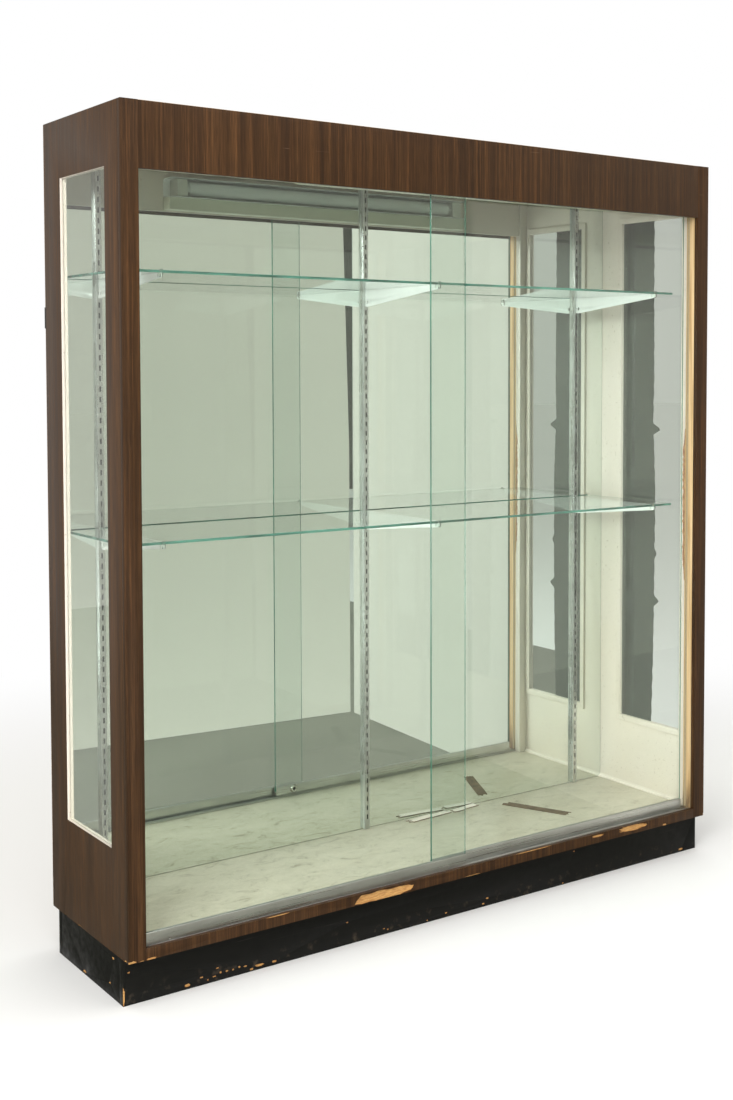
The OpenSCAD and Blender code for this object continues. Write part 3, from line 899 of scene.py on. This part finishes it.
# %% Back and its nails
back_low, back_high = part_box("back_panel")
inset_x, inset_z = back_low.x + 12 * MM, back_low.z + 10 * MM
nails = [(inset_x + i * (back_high.x - back_low.x - 24 * MM) / 11, z)
         for i in range(12) for z in (inset_z, back_high.z - 10 * MM)]
nails += [(x, inset_z + i * (back_high.z - back_low.z - 20 * MM) / 12)
          for i in range(1, 12) for x in (back_low.x + 8 * MM, back_high.x - 8 * MM)]
nail_x, nail_z = nails[0]
steps = [(x - nail_x, 0, z - nail_z) for x, z in nails[1:]]
pit = turned("pit", [(0, 0.002), (0.0035, 0.002), (0.0042, -0.0012), (0, -0.0012)],
             (nail_x, back_high.y, nail_z), "Y", 10)
head = turned("head", [(0, 0), (0.0032, 0), (0.0028, -0.0011), (0, -0.0011)],
              (nail_x, back_high.y - 0.3 * MM, nail_z), "Y", 10)
back = made_of(block("back_board", back_low, back_high), hardboard)
cut(back, made_of(repeated(pit, "pits", steps), hardboard))
stands_for(soften(back, 0.4, 1, 60), "case", "hardboard", "back_panel")
nail_heads = made_of(repeated(head, "back_nail_heads", steps), zinc)
stands_for(nail_heads, "case", "hardboard")

# %% [markdown]
# ### Floor lining, cove beads and the ceiling light's boards
# The lining is a thin sheet cut round the posts. A cove bead hides its joint with the ends.

# %% Lining
lining_low, lining_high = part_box("floor_lining")
post_low, post_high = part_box("stop_right")
lining = made_of(block("floor_lining_sheet", lining_low, lining_high), marbled)
for side in (-1, 1):
    near, far = sorted((side * post_low.x, side * (lining_high.x + 0.02)))
    cut(lining, block("notch", (near, lining_low.y - 0.02, lining_low.z - 0.01),
                      (far, post_high.y, lining_high.z + 0.01)))
stands_for(soften(lining, 0.4, 2), "case", "marbled_lining", "floor_lining")

# %% [markdown]
# The coves are a small section with a hollow quarter round, extruded from front to back. The
# two boards that carry the light are plain, painted, with raw ends.

# %% Coves and head boards
COVE_RADIUS = 6.5 * MM
cove_low, cove_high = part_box("floor_beads")
tall = cove_high.z - cove_low.z
coves = []
for side in (-1, 1):
    wall_x = side * cove_high.x
    outline = [(wall_x, cove_low.z), (wall_x - side * tall, cove_low.z)]
    outline += [(wall_x - side * (tall - COVE_RADIUS * math.sin(t * math.pi / 18)),
                 cove_high.z - COVE_RADIUS * math.cos(t * math.pi / 18)) for t in range(10)]
    outline += [(wall_x, cove_high.z)]
    coves.append(profile("cove", outline, "Y", cove_low.y, cove_high.y))
cove = made_of(together("floor_cove_beads", coves), cream_paint)
stands_for(soften(cove, 0.3, 1, 50), "case", "cream_paint", "floor_beads")

for node in ("head_board", "head_block"):
    wide_board(node, cream_paint, "cream_paint", (raw_edge, lambda c, n: abs(n.x) > 0.9),
               width=0.9)

# %% [markdown]
# ### Mirror
# The whole back wall is one silvered sheet. Its glass front is flat and perfect, its edge has
# a ground arris, and its back carries brown safety paint.

# %% Mirror
sheet = soften(made_of(block("mirror_pane", *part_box("mirror_sheet")), mirror), 0.5, 1)
for face in sheet.data.polygons:
    face.use_smooth = False
finish_with(sheet, (hardboard, lambda c, n: n.y > 0.3), (door_edge, lambda c, n: abs(n.y) < 0.9))
stands_for(sheet, "case", "mirror", "mirror_sheet")

# %% [markdown]
# ### Plinth
# Four black boards under the case. The front one is scuffed and its corners are broken away
# to pale core, mostly near the floor where mops and boots meet it.

# %% Plinth
def plinth_board(node, face=None, chips=()):
    """Chips are (place along the face, height, size)."""
    low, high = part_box(node)
    board = made_of(block(f"{node}_board", low, high), black_laminate)
    cutters = []
    for seed, (along, z, size) in enumerate(chips, 40):
        centre = (along, low.y, z) if face == "front" else (low.x, along, z)
        cutters.append(chip(face, centre, size, 1.4, seed, points=14))
    cut(board, *cutters)
    return stands_for(soften(board, 0.9, 2), "case", "black_laminate", node)


scatter = random.Random(6)
front_chips = [
    (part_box("plinth_front")[0].x, 0.022, (0.007, 0.042)), (-0.735, 0.009, (0.014, 0.006)),
    (-0.551, 0.010, (0.024, 0.006)), (-0.512, 0.009, (0.012, 0.005)),
    (-0.876, 0.074, (0.006, 0.004)), (-0.66, 0.030, (0.007, 0.003)),
    (-0.31, 0.055, (0.006, 0.003)), (0.12, 0.020, (0.009, 0.004)),
    (0.83, 0.008, (0.016, 0.006)), (0.42, 0.084, (0.006, 0.003))]
front_chips += [(-0.70 + 0.016 * k, scatter.uniform(0.004, 0.022),
                 (scatter.uniform(0.003, 0.010), scatter.uniform(0.002, 0.005)))
                for k in range(9)]
front_chips += [(scatter.uniform(-0.45, 0.40), scatter.uniform(0.004, 0.015),
                 (scatter.uniform(0.003, 0.008), scatter.uniform(0.002, 0.004)))
                for k in range(6)]
plinth_board("plinth_front", "front", front_chips)
plinth_board("plinth_left", "left", [(-0.140, 0.092, (0.010, 0.005)),
                                     (0.026, 0.007, (0.016, 0.005)),
                                     (-0.120, 0.030, (0.007, 0.004))])
plinth_board("plinth_right")
plinth_board("plinth_back")

# %% [markdown]
# ## End windows
# Each pane is a slab with green ground edges, held in its rebate by four mitred beads. A bead
# has a rounded inner edge, so the ring gets a wide bevel there and fine mitre lines.

# %% Window panes
def slab(name, node, face_finish, rim_finish, across, arris=0.5):
    pane = made_of(block(name, *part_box(node)), face_finish)
    modify(pane, "BEVEL", width=arris * MM, segments=1, limit_method="ANGLE",
           angle_limit=math.radians(35))
    return finish_with(pane, (rim_finish, lambda c, n: abs(n[across]) < 0.9))


for word in ("left", "right"):
    pane = slab(f"window_pane_{word}", f"window_glass_{word}", window_glass, door_edge, 0)
    stands_for(pane, "case", "window_glass", f"window_glass_{word}")


# %% [markdown]
# The bead is built as one frame: a ring on the inside of the board joined to a tongue that
# presses on the glass, then opened by one cutter, scored at the mitres and rounded along the
# edges that a hand would touch.

# %% Window beads
def mitre_cutters(low, high, width, face_x, half=0.25 * MM):
    """Four thin cutters, one along each corner's diagonal, sunk into the ring's face."""
    grooves = []
    for y, z, dy, dz in ((low.y, low.z, 1, 1), (high.y, low.z, -1, 1),
                         (low.y, high.z, 1, -1), (high.y, high.z, -1, -1)):
        points = [(y + sign * half * dz + dy * reach, z - sign * half * dy + dz * reach)
                  for sign, reach in ((-1, -MM), (1, -MM), (1, width + MM), (-1, width + MM))]
        grooves.append(profile("mitre", points, "X", face_x - 0.4 * MM, face_x + 0.4 * MM))
    return together("mitres", grooves)


def round_long_edges(piece, face_x):
    """The long edges that lie in the ring's face are chosen by place and bevelled."""
    only(piece)
    bpy.ops.object.mode_set(mode="EDIT")
    bpy.ops.mesh.select_all(action="DESELECT")
    bpy.ops.object.mode_set(mode="OBJECT")
    for edge in piece.data.edges:
        a, b = (piece.data.vertices[v].co for v in edge.vertices)
        in_face = abs((a.x + b.x) / 2 - face_x) < 0.1 * MM and abs(a.x - b.x) < 1e-6
        edge.select = in_face and (a - b).length > 0.1
    bpy.ops.object.mode_set(mode="EDIT")
    bpy.ops.mesh.bevel(offset=3.2 * MM, segments=4, clamp_overlap=True)
    bpy.ops.object.mode_set(mode="OBJECT")
    bpy.ops.object.shade_smooth_by_angle(angle=math.radians(35))


for side, word in ((-1, "left"), (1, "right")):
    low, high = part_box(f"window_bead_{word}")
    pane_low, pane_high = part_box(f"window_glass_{word}")
    board_low, board_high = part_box(f"end_panel_{word}")
    inner, near_glass = (high.x, low.x) if side < 0 else (low.x, high.x)
    inner_board = board_high.x if side < 0 else board_low.x
    ring_low, ring_high = low.copy(), high.copy()
    tongue_low, tongue_high = pane_low.copy(), pane_high.copy()
    ring_low.x, ring_high.x = sorted((inner, inner_board))
    tongue_low.x, tongue_high.x = sorted((inner_board, near_glass))
    ring = made_of(block(f"window_bead_ring_{word}", ring_low, ring_high), cream_paint)
    joined(ring, block("tongue", tongue_low, tongue_high))
    through = Vector((0.03, 0, 0))
    hole_low, hole_high = pane_low + BEAD_COVER, pane_high - BEAD_COVER
    cut(ring, block("hole", hole_low - through, hole_high + through))
    cut(ring, mitre_cutters(ring_low, ring_high, hole_low.y - ring_low.y, inner))
    round_long_edges(ring, inner)
    stands_for(ring, "case", "cream_paint", f"window_bead_{word}")

# %% [markdown]
# ### Torn film on the right window
# Dark film was stuck on the back half of the pane and has been pulled away by hand, so its
# front edge wanders and three tatters hang forward. The outline is walked point by point with
# a seeded jitter, then given its thickness.

# %% Torn film
film_low, film_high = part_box("window_film")
film_dice = random.Random(4)
EDGE = [(0.0, 0.006), (0.142, -0.001), (0.30, -0.004), (0.447, -0.006), (0.54, -0.001),
        (0.597, 0.005), (0.688, 0.001), (0.877, 0.004), (1.0, 0.004)]
TATTERS = {0.245: -0.021, 0.588: -0.033, 0.34: -0.008}
ragged = []
for i in range(221):
    t = i / 220
    for (a, ya), (b, yb) in zip(EDGE, EDGE[1:]):
        if a <= t <= b:
            shift = ya + (yb - ya) * (t - a) / (b - a)
    for at, reach in TATTERS.items():
        shift += reach * max(0, 1 - abs(t - at) / 0.011)
    shift += film_dice.uniform(-0.0008, 0.0008) + 0.0010 * math.sin(i * 0.9)
    ragged.append((film_low.y + shift, film_low.z + t * (film_high.z - film_low.z)))
outline = ragged + [(film_high.y, film_high.z), (film_high.y, film_low.z)]
torn = profile("torn_window_film", outline, "X", film_low.x, film_high.x)
stands_for(made_of(torn, film), "case", "dark_film", "window_film")

# %% [markdown]
# ## Doors and their running gear
# Tracks are extrusions: one outline drawn across the length and pushed along it. The lower
# one has two round-topped ribs for the rollers, and the upper one two deep guide channels.

# %% Tracks
def arc(centre, radius, start, stop, steps=6):
    """Points on an arc, with angles in degrees."""
    return [(centre[0] + radius * math.cos(math.radians(start + (stop - start) * i / steps)),
             centre[1] + radius * math.sin(math.radians(start + (stop - start) * i / steps)))
            for i in range(steps + 1)]


def track(name, node, outline):
    low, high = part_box(node)
    piece = made_of(profile(name, outline, "X", low.x, high.x), aluminium)
    return stands_for(soften(piece, 0.25, 1, 50), "case", "aluminium", node)


WALL, RIB = 1.2 * MM, 1.2 * MM


base_low, base_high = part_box("bottom_track")
outer_y = sum(corner.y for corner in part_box("left_shoe")) / 2
inner_y = sum(corner.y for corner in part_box("right_shoe")) / 2
lip_top = rail_high.z
points = [(base_low.y, base_low.z), (base_high.y, base_low.z), (base_high.y, lip_top)]
points += [(base_high.y - WALL, lip_top), (base_high.y - WALL, base_low.z + 1.5 * MM)]
for rib in (inner_y, outer_y):
    points += [(rib + RIB, base_low.z + 1.5 * MM)]
    points += arc((rib, base_high.z - RIB), RIB, 0, 180)
    points += [(rib - RIB, base_low.z + 1.5 * MM)]
points += [(base_low.y + WALL, base_low.z + 1.5 * MM), (base_low.y + WALL, lip_top),
           (base_low.y, lip_top)]
track("bottom_double_track", "bottom_track", points)

guide_low, guide_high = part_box("top_track")
points = [(guide_low.y, guide_low.z), (guide_low.y, guide_high.z),
          (guide_high.y, guide_high.z), (guide_high.y, guide_low.z)]
for channel in (inner_y, outer_y):
    points += [(channel + 5.5 * MM, guide_low.z), (channel + 5.5 * MM, guide_high.z - 2 * MM),
               (channel - 5.5 * MM, guide_high.z - 2 * MM), (channel - 5.5 * MM, guide_low.z)]
track("top_double_guide", "top_track", points)

# %% [markdown]
# ### Door shoes
# Each pane stands in an aluminium shoe: a channel for the glass above, a channel for the
# rollers below. Its upper lips are rounded. The axle holes are drilled right through by two
# turned cutters.

# %% Shoes
def door_shoe(word, centre_y):
    low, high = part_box(f"{word}_shoe")
    axle_low, axle_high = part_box(f"{word}_axles")
    glass_low, glass_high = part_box(f"{word}_glass")
    half, floor = (high.y - low.y) / 2, glass_low.z
    pocket = (glass_high.y - glass_low.y) / 2
    lip, axle_r = 0.8 * MM, 1.5 * MM
    leg, roof = half - 1.6 * MM, floor - 1.5 * MM
    points = [(centre_y - half, low.z), (centre_y - leg, low.z), (centre_y - leg, roof),
              (centre_y + leg, roof), (centre_y + leg, low.z), (centre_y + half, low.z)]
    points += arc((centre_y + half - lip, high.z - lip), lip, 0, 90, 4)
    points += [(centre_y + pocket, high.z), (centre_y + pocket, floor),
               (centre_y - pocket, floor), (centre_y - pocket, high.z)]
    points += arc((centre_y - half + lip, high.z - lip), lip, 90, 180, 4)
    shoe = made_of(profile(f"{word}_door_shoe", points, "X", low.x, high.x), aluminium)
    drill = turned("drill", [(0, -half - MM), (axle_r, -half - MM), (axle_r, half + MM),
                             (0, half + MM)],
                   (axle_low.x + axle_r, centre_y, (axle_low.z + axle_high.z) / 2), "Y", 20)
    cut(shoe, repeated(drill, "drills", [(axle_high.x - axle_low.x - 2 * axle_r, 0, 0)]))
    return stands_for(soften(shoe, 0.25, 1, 50), f"{word}_door", "aluminium", f"{word}_shoe")


door_shoe("left", outer_y)
door_shoe("right", inner_y)

# %% [markdown]
# ### Rollers, axles and the lock ferrule
# A roller is turned: the outline of half its section is spun once round the axle. One is
# made, and the other three are copies at their places. The ferrule is turned too, a nickel
# ring with a dished face, and so is the lock barrel inside it.

# %% Rollers
rollers = ["left_roller_a", "left_roller_b", "right_roller_a", "right_roller_b"]
low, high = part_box(rollers[0])
rim, half = (high.z - low.z) / 2, (high.y - low.y) / 2
outline = [(1.55 * MM, -half), (2.6 * MM, -half), (3.0 * MM, -half + 0.4 * MM),
           (rim - 0.4 * MM, -half + 0.4 * MM), (rim, -half + 0.7 * MM), (rim, -1.6 * MM),
           (rim - MM, -1.6 * MM)]
outline += [(radius, -height) for radius, height in outline[::-1]]
wheel = turned("left_roller_a_wheel", outline, (low + high) / 2, "Y", 40)
wheels = at_nodes(made_of(wheel, nylon), rollers, lambda node: f"{node}_wheel")
for wheel, node in zip(wheels, rollers):
    stands_for(wheel, node, "nylon", node)

for word in ("left", "right"):
    made_of(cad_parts[f"{word}_axles"], zinc)

# %% [markdown]
# The ferrule is the rim that the lock barrel looks out of. A keyhole is cut into the barrel.

# %% Lock ferrule
ring_low, ring_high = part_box("lock_ferrule")
ring_centre = (ring_low + ring_high) / 2
ring_centre.y = ring_low.y
ring_r = (ring_high.x - ring_low.x) / 2
outline = [(5.0 * MM, 0), (ring_r - 0.3 * MM, 0), (ring_r, 0.4 * MM), (ring_r, 1.1 * MM),
           (ring_r - 0.4 * MM, 1.5 * MM), (ring_r - MM, 1.5 * MM), (ring_r - 3 * MM, 3.5 * MM),
           (ring_r - 3.6 * MM, 3.5 * MM), (ring_r - 4.6 * MM, 2.8 * MM), (6.2 * MM, 2.6 * MM),
           (5.0 * MM, 2.9 * MM)]
ferrule = made_of(turned("lock_ferrule_ring", outline, ring_centre, "Y", 48), nickel)
stands_for(ferrule, "right_door", "plated_steel", "lock_ferrule")

barrel = made_of(turned("lock_barrel", [(0, 0.2 * MM), (4.9 * MM, 0.2 * MM),
                                        (4.9 * MM, 1.8 * MM), (4.4 * MM, 2.2 * MM),
                                        (0, 2.2 * MM)], ring_centre, "Y", 32), black_steel)
keyhole = block("keyhole", ring_centre + Vector((-0.5, 1.2, -2.6)) * MM,
                ring_centre + Vector((0.5, 3, 2.6)) * MM)
cut(barrel, made_of(keyhole, black_steel))
stands_for(barrel, "right_door", "plated_steel")

# %% [markdown]
# ### Door panes, edge felt and shelves
# Panes and shelves are slabs with a fine ground arris. Their rims are a separate finish,
# because the long way through the sheet is where float glass turns green.

# %% Door panes and felt
for word in ("left", "right"):
    pane = slab(f"{word}_door_pane", f"{word}_glass", door_glass, door_edge, 1, 0.6)
    stands_for(pane, f"{word}_door", "door_glass", f"{word}_glass")

felt_low, felt_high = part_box("door_bumpers")
strips = []
for low_x, high_x, y in ((felt_low.x, felt_low.x + 1.5 * MM, outer_y),
                         (felt_high.x - 1.5 * MM, felt_high.x, inner_y)):
    inward = 1 if low_x < 0 else -1
    wall_x = low_x if inward > 0 else high_x
    outline = [(wall_x, y - 4 * MM), (wall_x + inward * 0.4 * MM, y - 4 * MM)]
    outline += [(wall_x + inward * (0.4 + 1.1 * math.sin(math.pi * k / 10)) * MM,
                 y + (-3.6 + 0.72 * k) * MM) for k in range(1, 10)]
    outline += [(wall_x + inward * 0.4 * MM, y + 4 * MM), (wall_x, y + 4 * MM)]
    strips.append(profile("felt", outline, "Z", felt_low.z, felt_high.z))
bumper = made_of(together("door_felt_strips", strips), felt)
stands_for(bumper, "case", "felt", "door_bumpers")

# %% [markdown]
# The shelves are the same kind of slab, with the ground edge a stronger green.

# %% Glass shelves
for level in ("upper", "lower"):
    shelf = slab(f"{level}_glass_shelf", f"{level}_shelf", shelf_glass, shelf_edge, 2, 0.7)
    stands_for(shelf, f"{level}_shelf", "shelf_glass", f"{level}_shelf")

# %% [markdown]
# ## Shelf hardware
# A knife bracket is pressed from 3 mm plate: deep at the root, slim at the tip, with a blunt
# end, a round lifting hole near the root, and two hooks that drop into slots of the
# standard. One is made for each shelf and copied to the other two standards. The pane lies on
# its top edge and a clear clip keeps it from sliding off.

# %% Knife brackets
PLACES = ("left", "centre", "right")
HOOK_DROP, SLOT_PITCH, ROOT_DEPTH = 10 * MM, 25.4 * MM, 45 * MM


def knife_bracket(level):
    low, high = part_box(f"{level}_bracket_left")
    top, tip = high.z, low.y
    root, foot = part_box("standard_left")[0].y - 0.3 * MM, top - ROOT_DEPTH
    points = [(root, top), (root, foot + 1 * MM), (root - 1 * MM, foot),
              (root - 15 * MM, foot), (root - 18 * MM, foot + 0.4 * MM),
              (tip + 6 * MM, top - 11 * MM)]
    points += arc((tip + 5.5 * MM, top - 5.5 * MM), 5.5 * MM, 270, 180, 6)
    points += [(tip, top - 1 * MM), (tip + 1 * MM, top)]
    plate = profile(f"{level}_knife_bracket_left", points, "X", low.x, high.x)
    made_of(plate, white_steel)
    hook = [(-1, 3.5), (5.0, 3.5), (5.5, 3.0), (5.5, -5), (3.4, -11), (2.0, -11), (1.6, -5),
            (-1, -5)]
    for z in (top - HOOK_DROP, top - HOOK_DROP - SLOT_PITCH):
        joined(plate, profile("hook", [(root + a * MM, z + b * MM) for a, b in hook], "X",
                              low.x, high.x))
    hole = turned("hole", [(0, -0.01), (5 * MM, -0.01), (5 * MM, 0.01), (0, 0.01)],
                  ((low.x + high.x) / 2, root - 9 * MM, foot + 13 * MM), "X", 32)
    cut(plate, made_of(hole, white_steel))
    return soften(plate, 0.5, 2, 30)


for level in ("upper", "lower"):
    nodes = [f"{level}_bracket_{place}" for place in PLACES]
    plates = at_nodes(knife_bracket(level), nodes,
                      lambda node: node.replace("bracket", "knife_bracket"))
    for plate, node in zip(plates, nodes):
        stands_for(plate, f"{level}_shelf", "white_steel", node)

# %% [markdown]
# A clip is a small clear hook. Its slot pushes on to the bracket and its nose holds the front
# edge of the glass, so its outline is extruded, slotted and copied to the other brackets.

# %% Shelf clips
def clip_set(level):
    low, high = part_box(f"{level}_clips")
    shelf_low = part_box(f"{level}_shelf")[0]
    tip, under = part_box(f"{level}_bracket_left")[0].y, shelf_low.z
    middles = [sum(corner.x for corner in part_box(f"{level}_bracket_{place}")) / 2
               for place in PLACES]
    x, gap = middles[0], 0.1 * MM
    nose = arc((low.y + 0.7 * MM, high.z - 0.7 * MM), 0.7 * MM, 180, 60, 5)
    points = [(tip + 13 * MM, under - gap), (shelf_low.y - gap, under - gap),
              (shelf_low.y - gap, high.z - 1.2 * MM)]
    points += nose[::-1] + [(low.y, low.z + 2 * MM), (low.y + 2 * MM, low.z),
                            (tip + 11 * MM, low.z), (tip + 13 * MM, low.z + 2 * MM)]
    clip = profile("clip", points, "X", x - 3.5 * MM, x + 3.5 * MM)
    cut(clip, block("slot", (x - 1.6 * MM, tip, low.z - MM),
                    (x + 1.6 * MM, tip + 14 * MM, under)))
    clips = repeated(clip, f"{level}_shelf_clips", [(other - x, 0, 0) for other in middles[1:]])
    soften(made_of(clips, clear_plastic), 0.4, 2)
    return stands_for(clips, f"{level}_shelf", "clear_plastic", f"{level}_clips")


clip_set("upper")
clip_set("lower")

# %% [markdown]
# ### Slotted standards
# Three zinc channels run up the mirror with a slot every inch. One is made, its slots cut by
# one joined tool, and the other two are copies. Countersunk screws hold them through the
# plain lands between slots.

# %% Standards
standards = [f"standard_{place}" for place in PLACES]
low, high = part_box(standards[0])
half, middle_x = (high.x - low.x) / 2, (low.x + high.x) / 2
r, t = 1.2 * MM, 1.5 * MM
outline = [(middle_x - half, high.y)]
outline += arc((middle_x - half + r, low.y + r), r, 180, 270, 4)
outline += arc((middle_x + half - r, low.y + r), r, 270, 360, 4)
outline += [(middle_x + half, high.y), (middle_x + half - t, high.y),
            (middle_x + half - t, low.y + t), (middle_x - half + t, low.y + t),
            (middle_x - half + t, high.y)]
channel = made_of(profile("slotted_standard_left", outline, "Z", low.z, high.z), zinc)
hook_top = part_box("upper_bracket_left")[1].z - HOOK_DROP
slots_down = math.floor((hook_top - lining_high.z - 20 * MM) / SLOT_PITCH)
slots_up = math.floor((high.z + 3 * MM - 25 * MM - hook_top) / SLOT_PITCH)
lowest = hook_top - slots_down * SLOT_PITCH
punch = block("punch", (middle_x - 2 * MM, low.y - MM, lowest - 6.5 * MM),
              (middle_x + 2 * MM, low.y + 2.2 * MM, lowest + 6.5 * MM))
cut(channel, made_of(repeated(punch, "punches", [
    (0, 0, k * SLOT_PITCH) for k in range(1, slots_down + slots_up + 1)]), zinc))
only(channel)
bpy.ops.object.shade_smooth_by_angle(angle=math.radians(40))
# The inner faces of the channel, seen through the slots and in the mirror, are coloured
# near-black as painted shade.
hollow = plain_finish("standard_hollow", (0.03, 0.03, 0.03), 0.8)
finish_with(channel, (hollow, lambda c, n: c.y > low.y + 0.7 * MM
                      and abs(c.x - middle_x) < half - MM))
print("slots in a standard:", slots_down + slots_up + 1)

# %% [markdown]
# The screw heads are turned once, copied down the channel and joined. Then the whole channel
# and its screws are copied to the other two places.

# %% Screws and copies of the standard
screw_z = [hook_top + (k + 0.5) * SLOT_PITCH
           for k in (-slots_down, -38, -24, -12, 2, slots_up - 1)]
screw_z = [z for z in screw_z if low.z + 0.01 < z < high.z - 0.01]
outline = [(0, 0.2), (1.0, 0.2), (1.2, -0.25), (3.2, -0.35), (3.7, 0.1), (3.7, 1.2), (0, 1.2)]
screw = turned("screw", [(radius * MM, height * MM) for radius, height in outline],
               (middle_x, low.y + 0.35 * MM, screw_z[0]), "Y", 16)
screws = repeated(screw, "standard_screws_left", [(0, 0, z - screw_z[0]) for z in screw_z[1:]])
channels = at_nodes(channel, standards, lambda node: f"slotted_{node}")
screw_sets = at_nodes(made_of(screws, aluminium), standards,
                      lambda node: node.replace("standard", "standard_screws"))
for rail, heads, node in zip(channels, screw_sets, standards):
    stands_for(rail, "case", "plated_steel", node)
    stands_for(heads, "case", "plated_steel")

# %% [markdown]
# ## Light behind the header
# A cream folded tray carries a white trough that opens to the back, with one fluorescent tube
# between two holders. The tube gets metal end caps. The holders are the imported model's own
# and only get a finish.

# %% Light tray and trough
low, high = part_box("light_housing")
t, r = 1.2 * MM, 3 * MM
near, far = (low.y + r, low.z + r), (high.y - r, low.z + r)
outside = [(low.y, high.z)] + arc(near, r, 180, 270, 5)
outside += arc(far, r, 270, 360, 5) + [(high.y, high.z)]
inside = [(high.y - t, high.z)] + arc(far, r - t, 360, 270, 5)
inside += arc(near, r - t, 270, 180, 5) + [(low.y + t, high.z)]
tray = profile("light_tray", outside + inside, "X", low.x + t, high.x - t)
ends = [profile("cap", outside, "X", x, x + t) for x in (low.x, high.x - t)]
tray = made_of(together("light_tray", [tray] + ends), cream_steel)
stands_for(soften(tray, 0.2, 1, 50), "case", "cream_steel", "light_housing")

low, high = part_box("light_reflector")
t, r = 1.5 * MM, 10 * MM
upper, lower = (low.y + r, high.z - r), (low.y + r, low.z + r)
outline = [(high.y, high.z)] + arc(upper, r, 90, 180, 8) + arc(lower, r, 180, 270, 8)
outline += [(high.y, low.z), (high.y, low.z + t)]
outline += arc(lower, r - t, 270, 180, 8) + arc(upper, r - t, 180, 90, 8)
outline += [(high.y, high.z - t)]
trough = made_of(profile("light_trough", outline, "X", low.x, high.x), white_steel)
stands_for(soften(trough, 0.3, 1, 50), "case", "white_steel", "light_reflector")

# %% [markdown]
# The tube is turned round its own axis, with rounded shoulders where the metal caps begin.

# %% Tube and holders
tube_low, tube_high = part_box("light_tube")
tube_r, tube_half = (tube_high.z - tube_low.z) / 2, (tube_high.x - tube_low.x) / 2
tube_centre = (tube_low + tube_high) / 2
outline = [(0, -tube_half + 14 * MM), (tube_r - 3 * MM, -tube_half + 14 * MM),
           (tube_r - 0.6 * MM, -tube_half + 17 * MM), (tube_r, -tube_half + 20 * MM)]
outline += [(radius, -height) for radius, height in outline[::-1]]
lamp_tube = made_of(turned("fluorescent_tube", outline, tube_centre, "X", 40), lamp_white)
stands_for(lamp_tube, "case", "lamp_glass", "light_tube")
caps = []
for side in (-1, 1):
    outline = [(0, -side * 16 * MM), (tube_r - 0.4 * MM, -side * 16 * MM),
               (tube_r - 0.4 * MM, -side * 0.8 * MM), (tube_r - 1.2 * MM, 0), (0, 0)]
    end = tube_centre + Vector((side * tube_half, 0, 0))
    caps.append(turned("cap", outline, end, "X", 40))
stands_for(made_of(together("tube_end_caps", caps), aluminium), "case", "lamp_glass")
made_of(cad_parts["lamp_holders"], holder_plastic)

# %% [markdown]
# ## Corner straps and sweepings
# Two black straps wrap the back corners, each with two sunk screws. On the floor of the case
# lie broken edging strips that came off somewhere: one with its brown face up, two with the
# cream face up by the mirror.

# %% Corner straps
low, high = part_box("corner_straps")
thick, wing, rub = 1.5 * MM, 28 * MM, 0.4 * MM
straps = []
for side, edge in ((-1, low.x), (1, high.x)):
    outline = [(edge, low.y), (edge, high.y - rub), (edge - side * rub, high.y),
               (edge - side * wing, high.y), (edge - side * wing, high.y - thick),
               (edge - side * thick, high.y - thick), (edge - side * thick, low.y)]
    strap = made_of(profile("strap", outline, "Z", low.z, high.z), black_steel)
    for z in (low.z + 14 * MM, high.z - 14 * MM):
        sink = turned("sink", [(0, 0.1 * MM), (4.2 * MM, 0.1 * MM), (2.4 * MM, -0.9 * MM),
                               (0, -0.9 * MM)], (edge - side * 16 * MM, high.y, z), "Y", 20)
        cut(strap, made_of(sink, zinc))
    straps.append(strap)
strap = together("back_corner_straps", straps)
stands_for(soften(strap, 0.3, 1, 50), "case", "black_steel", "corner_straps")

# %% [markdown]
# A snapped strip has straight sides and torn ends, so its outline is drawn in plan with a
# seeded jitter at both ends, and then given its thickness.

# %% Broken edging strips
strip_brown = grained("strip_back", (0.10, 0.065, 0.035), (0.20, 0.135, 0.08), (40, 40, 40))


def broken_strip(name, start, stop, width, seed, thickness=2.0, top=None):
    """A snapped strip lying on the lining, from start to stop in plan, with torn ends."""
    dice = random.Random(seed)
    start, stop = Vector((*start, 0)), Vector((*stop, 0))
    along = (stop - start).normalized()
    side = Vector((-along.y, along.x, 0))
    rows = [(k / 8 - 0.5, dice.uniform(-0.010, 0.006), dice.uniform(-0.006, 0.010))
            for k in range(9)]
    outline = [stop + side * width * u + along * e for u, _, e in rows]
    outline += [start + side * width * u + along * e for u, e, _ in rows[::-1]]
    piece = profile(name, [(p.x, p.y) for p in outline], "Z", lining_high.z,
                    lining_high.z + thickness * MM)
    soften(made_of(piece, strip_brown), 0.25, 1)
    if top:
        finish_with(piece, (top, lambda c, n: n.z > 0.5))
    return stands_for(piece, "case", "bare_wood")


broken_strip("loose_strip_long", (0.455, 0.155), (0.535, -0.025), 0.030, 3)
broken_strip("loose_strip_pale_a", (0.135, 0.183), (0.270, 0.196), 0.022, 5, 3, cream_paint)
broken_strip("loose_strip_pale_b", (0.290, 0.190), (0.372, 0.200), 0.022, 6, 3, cream_paint)
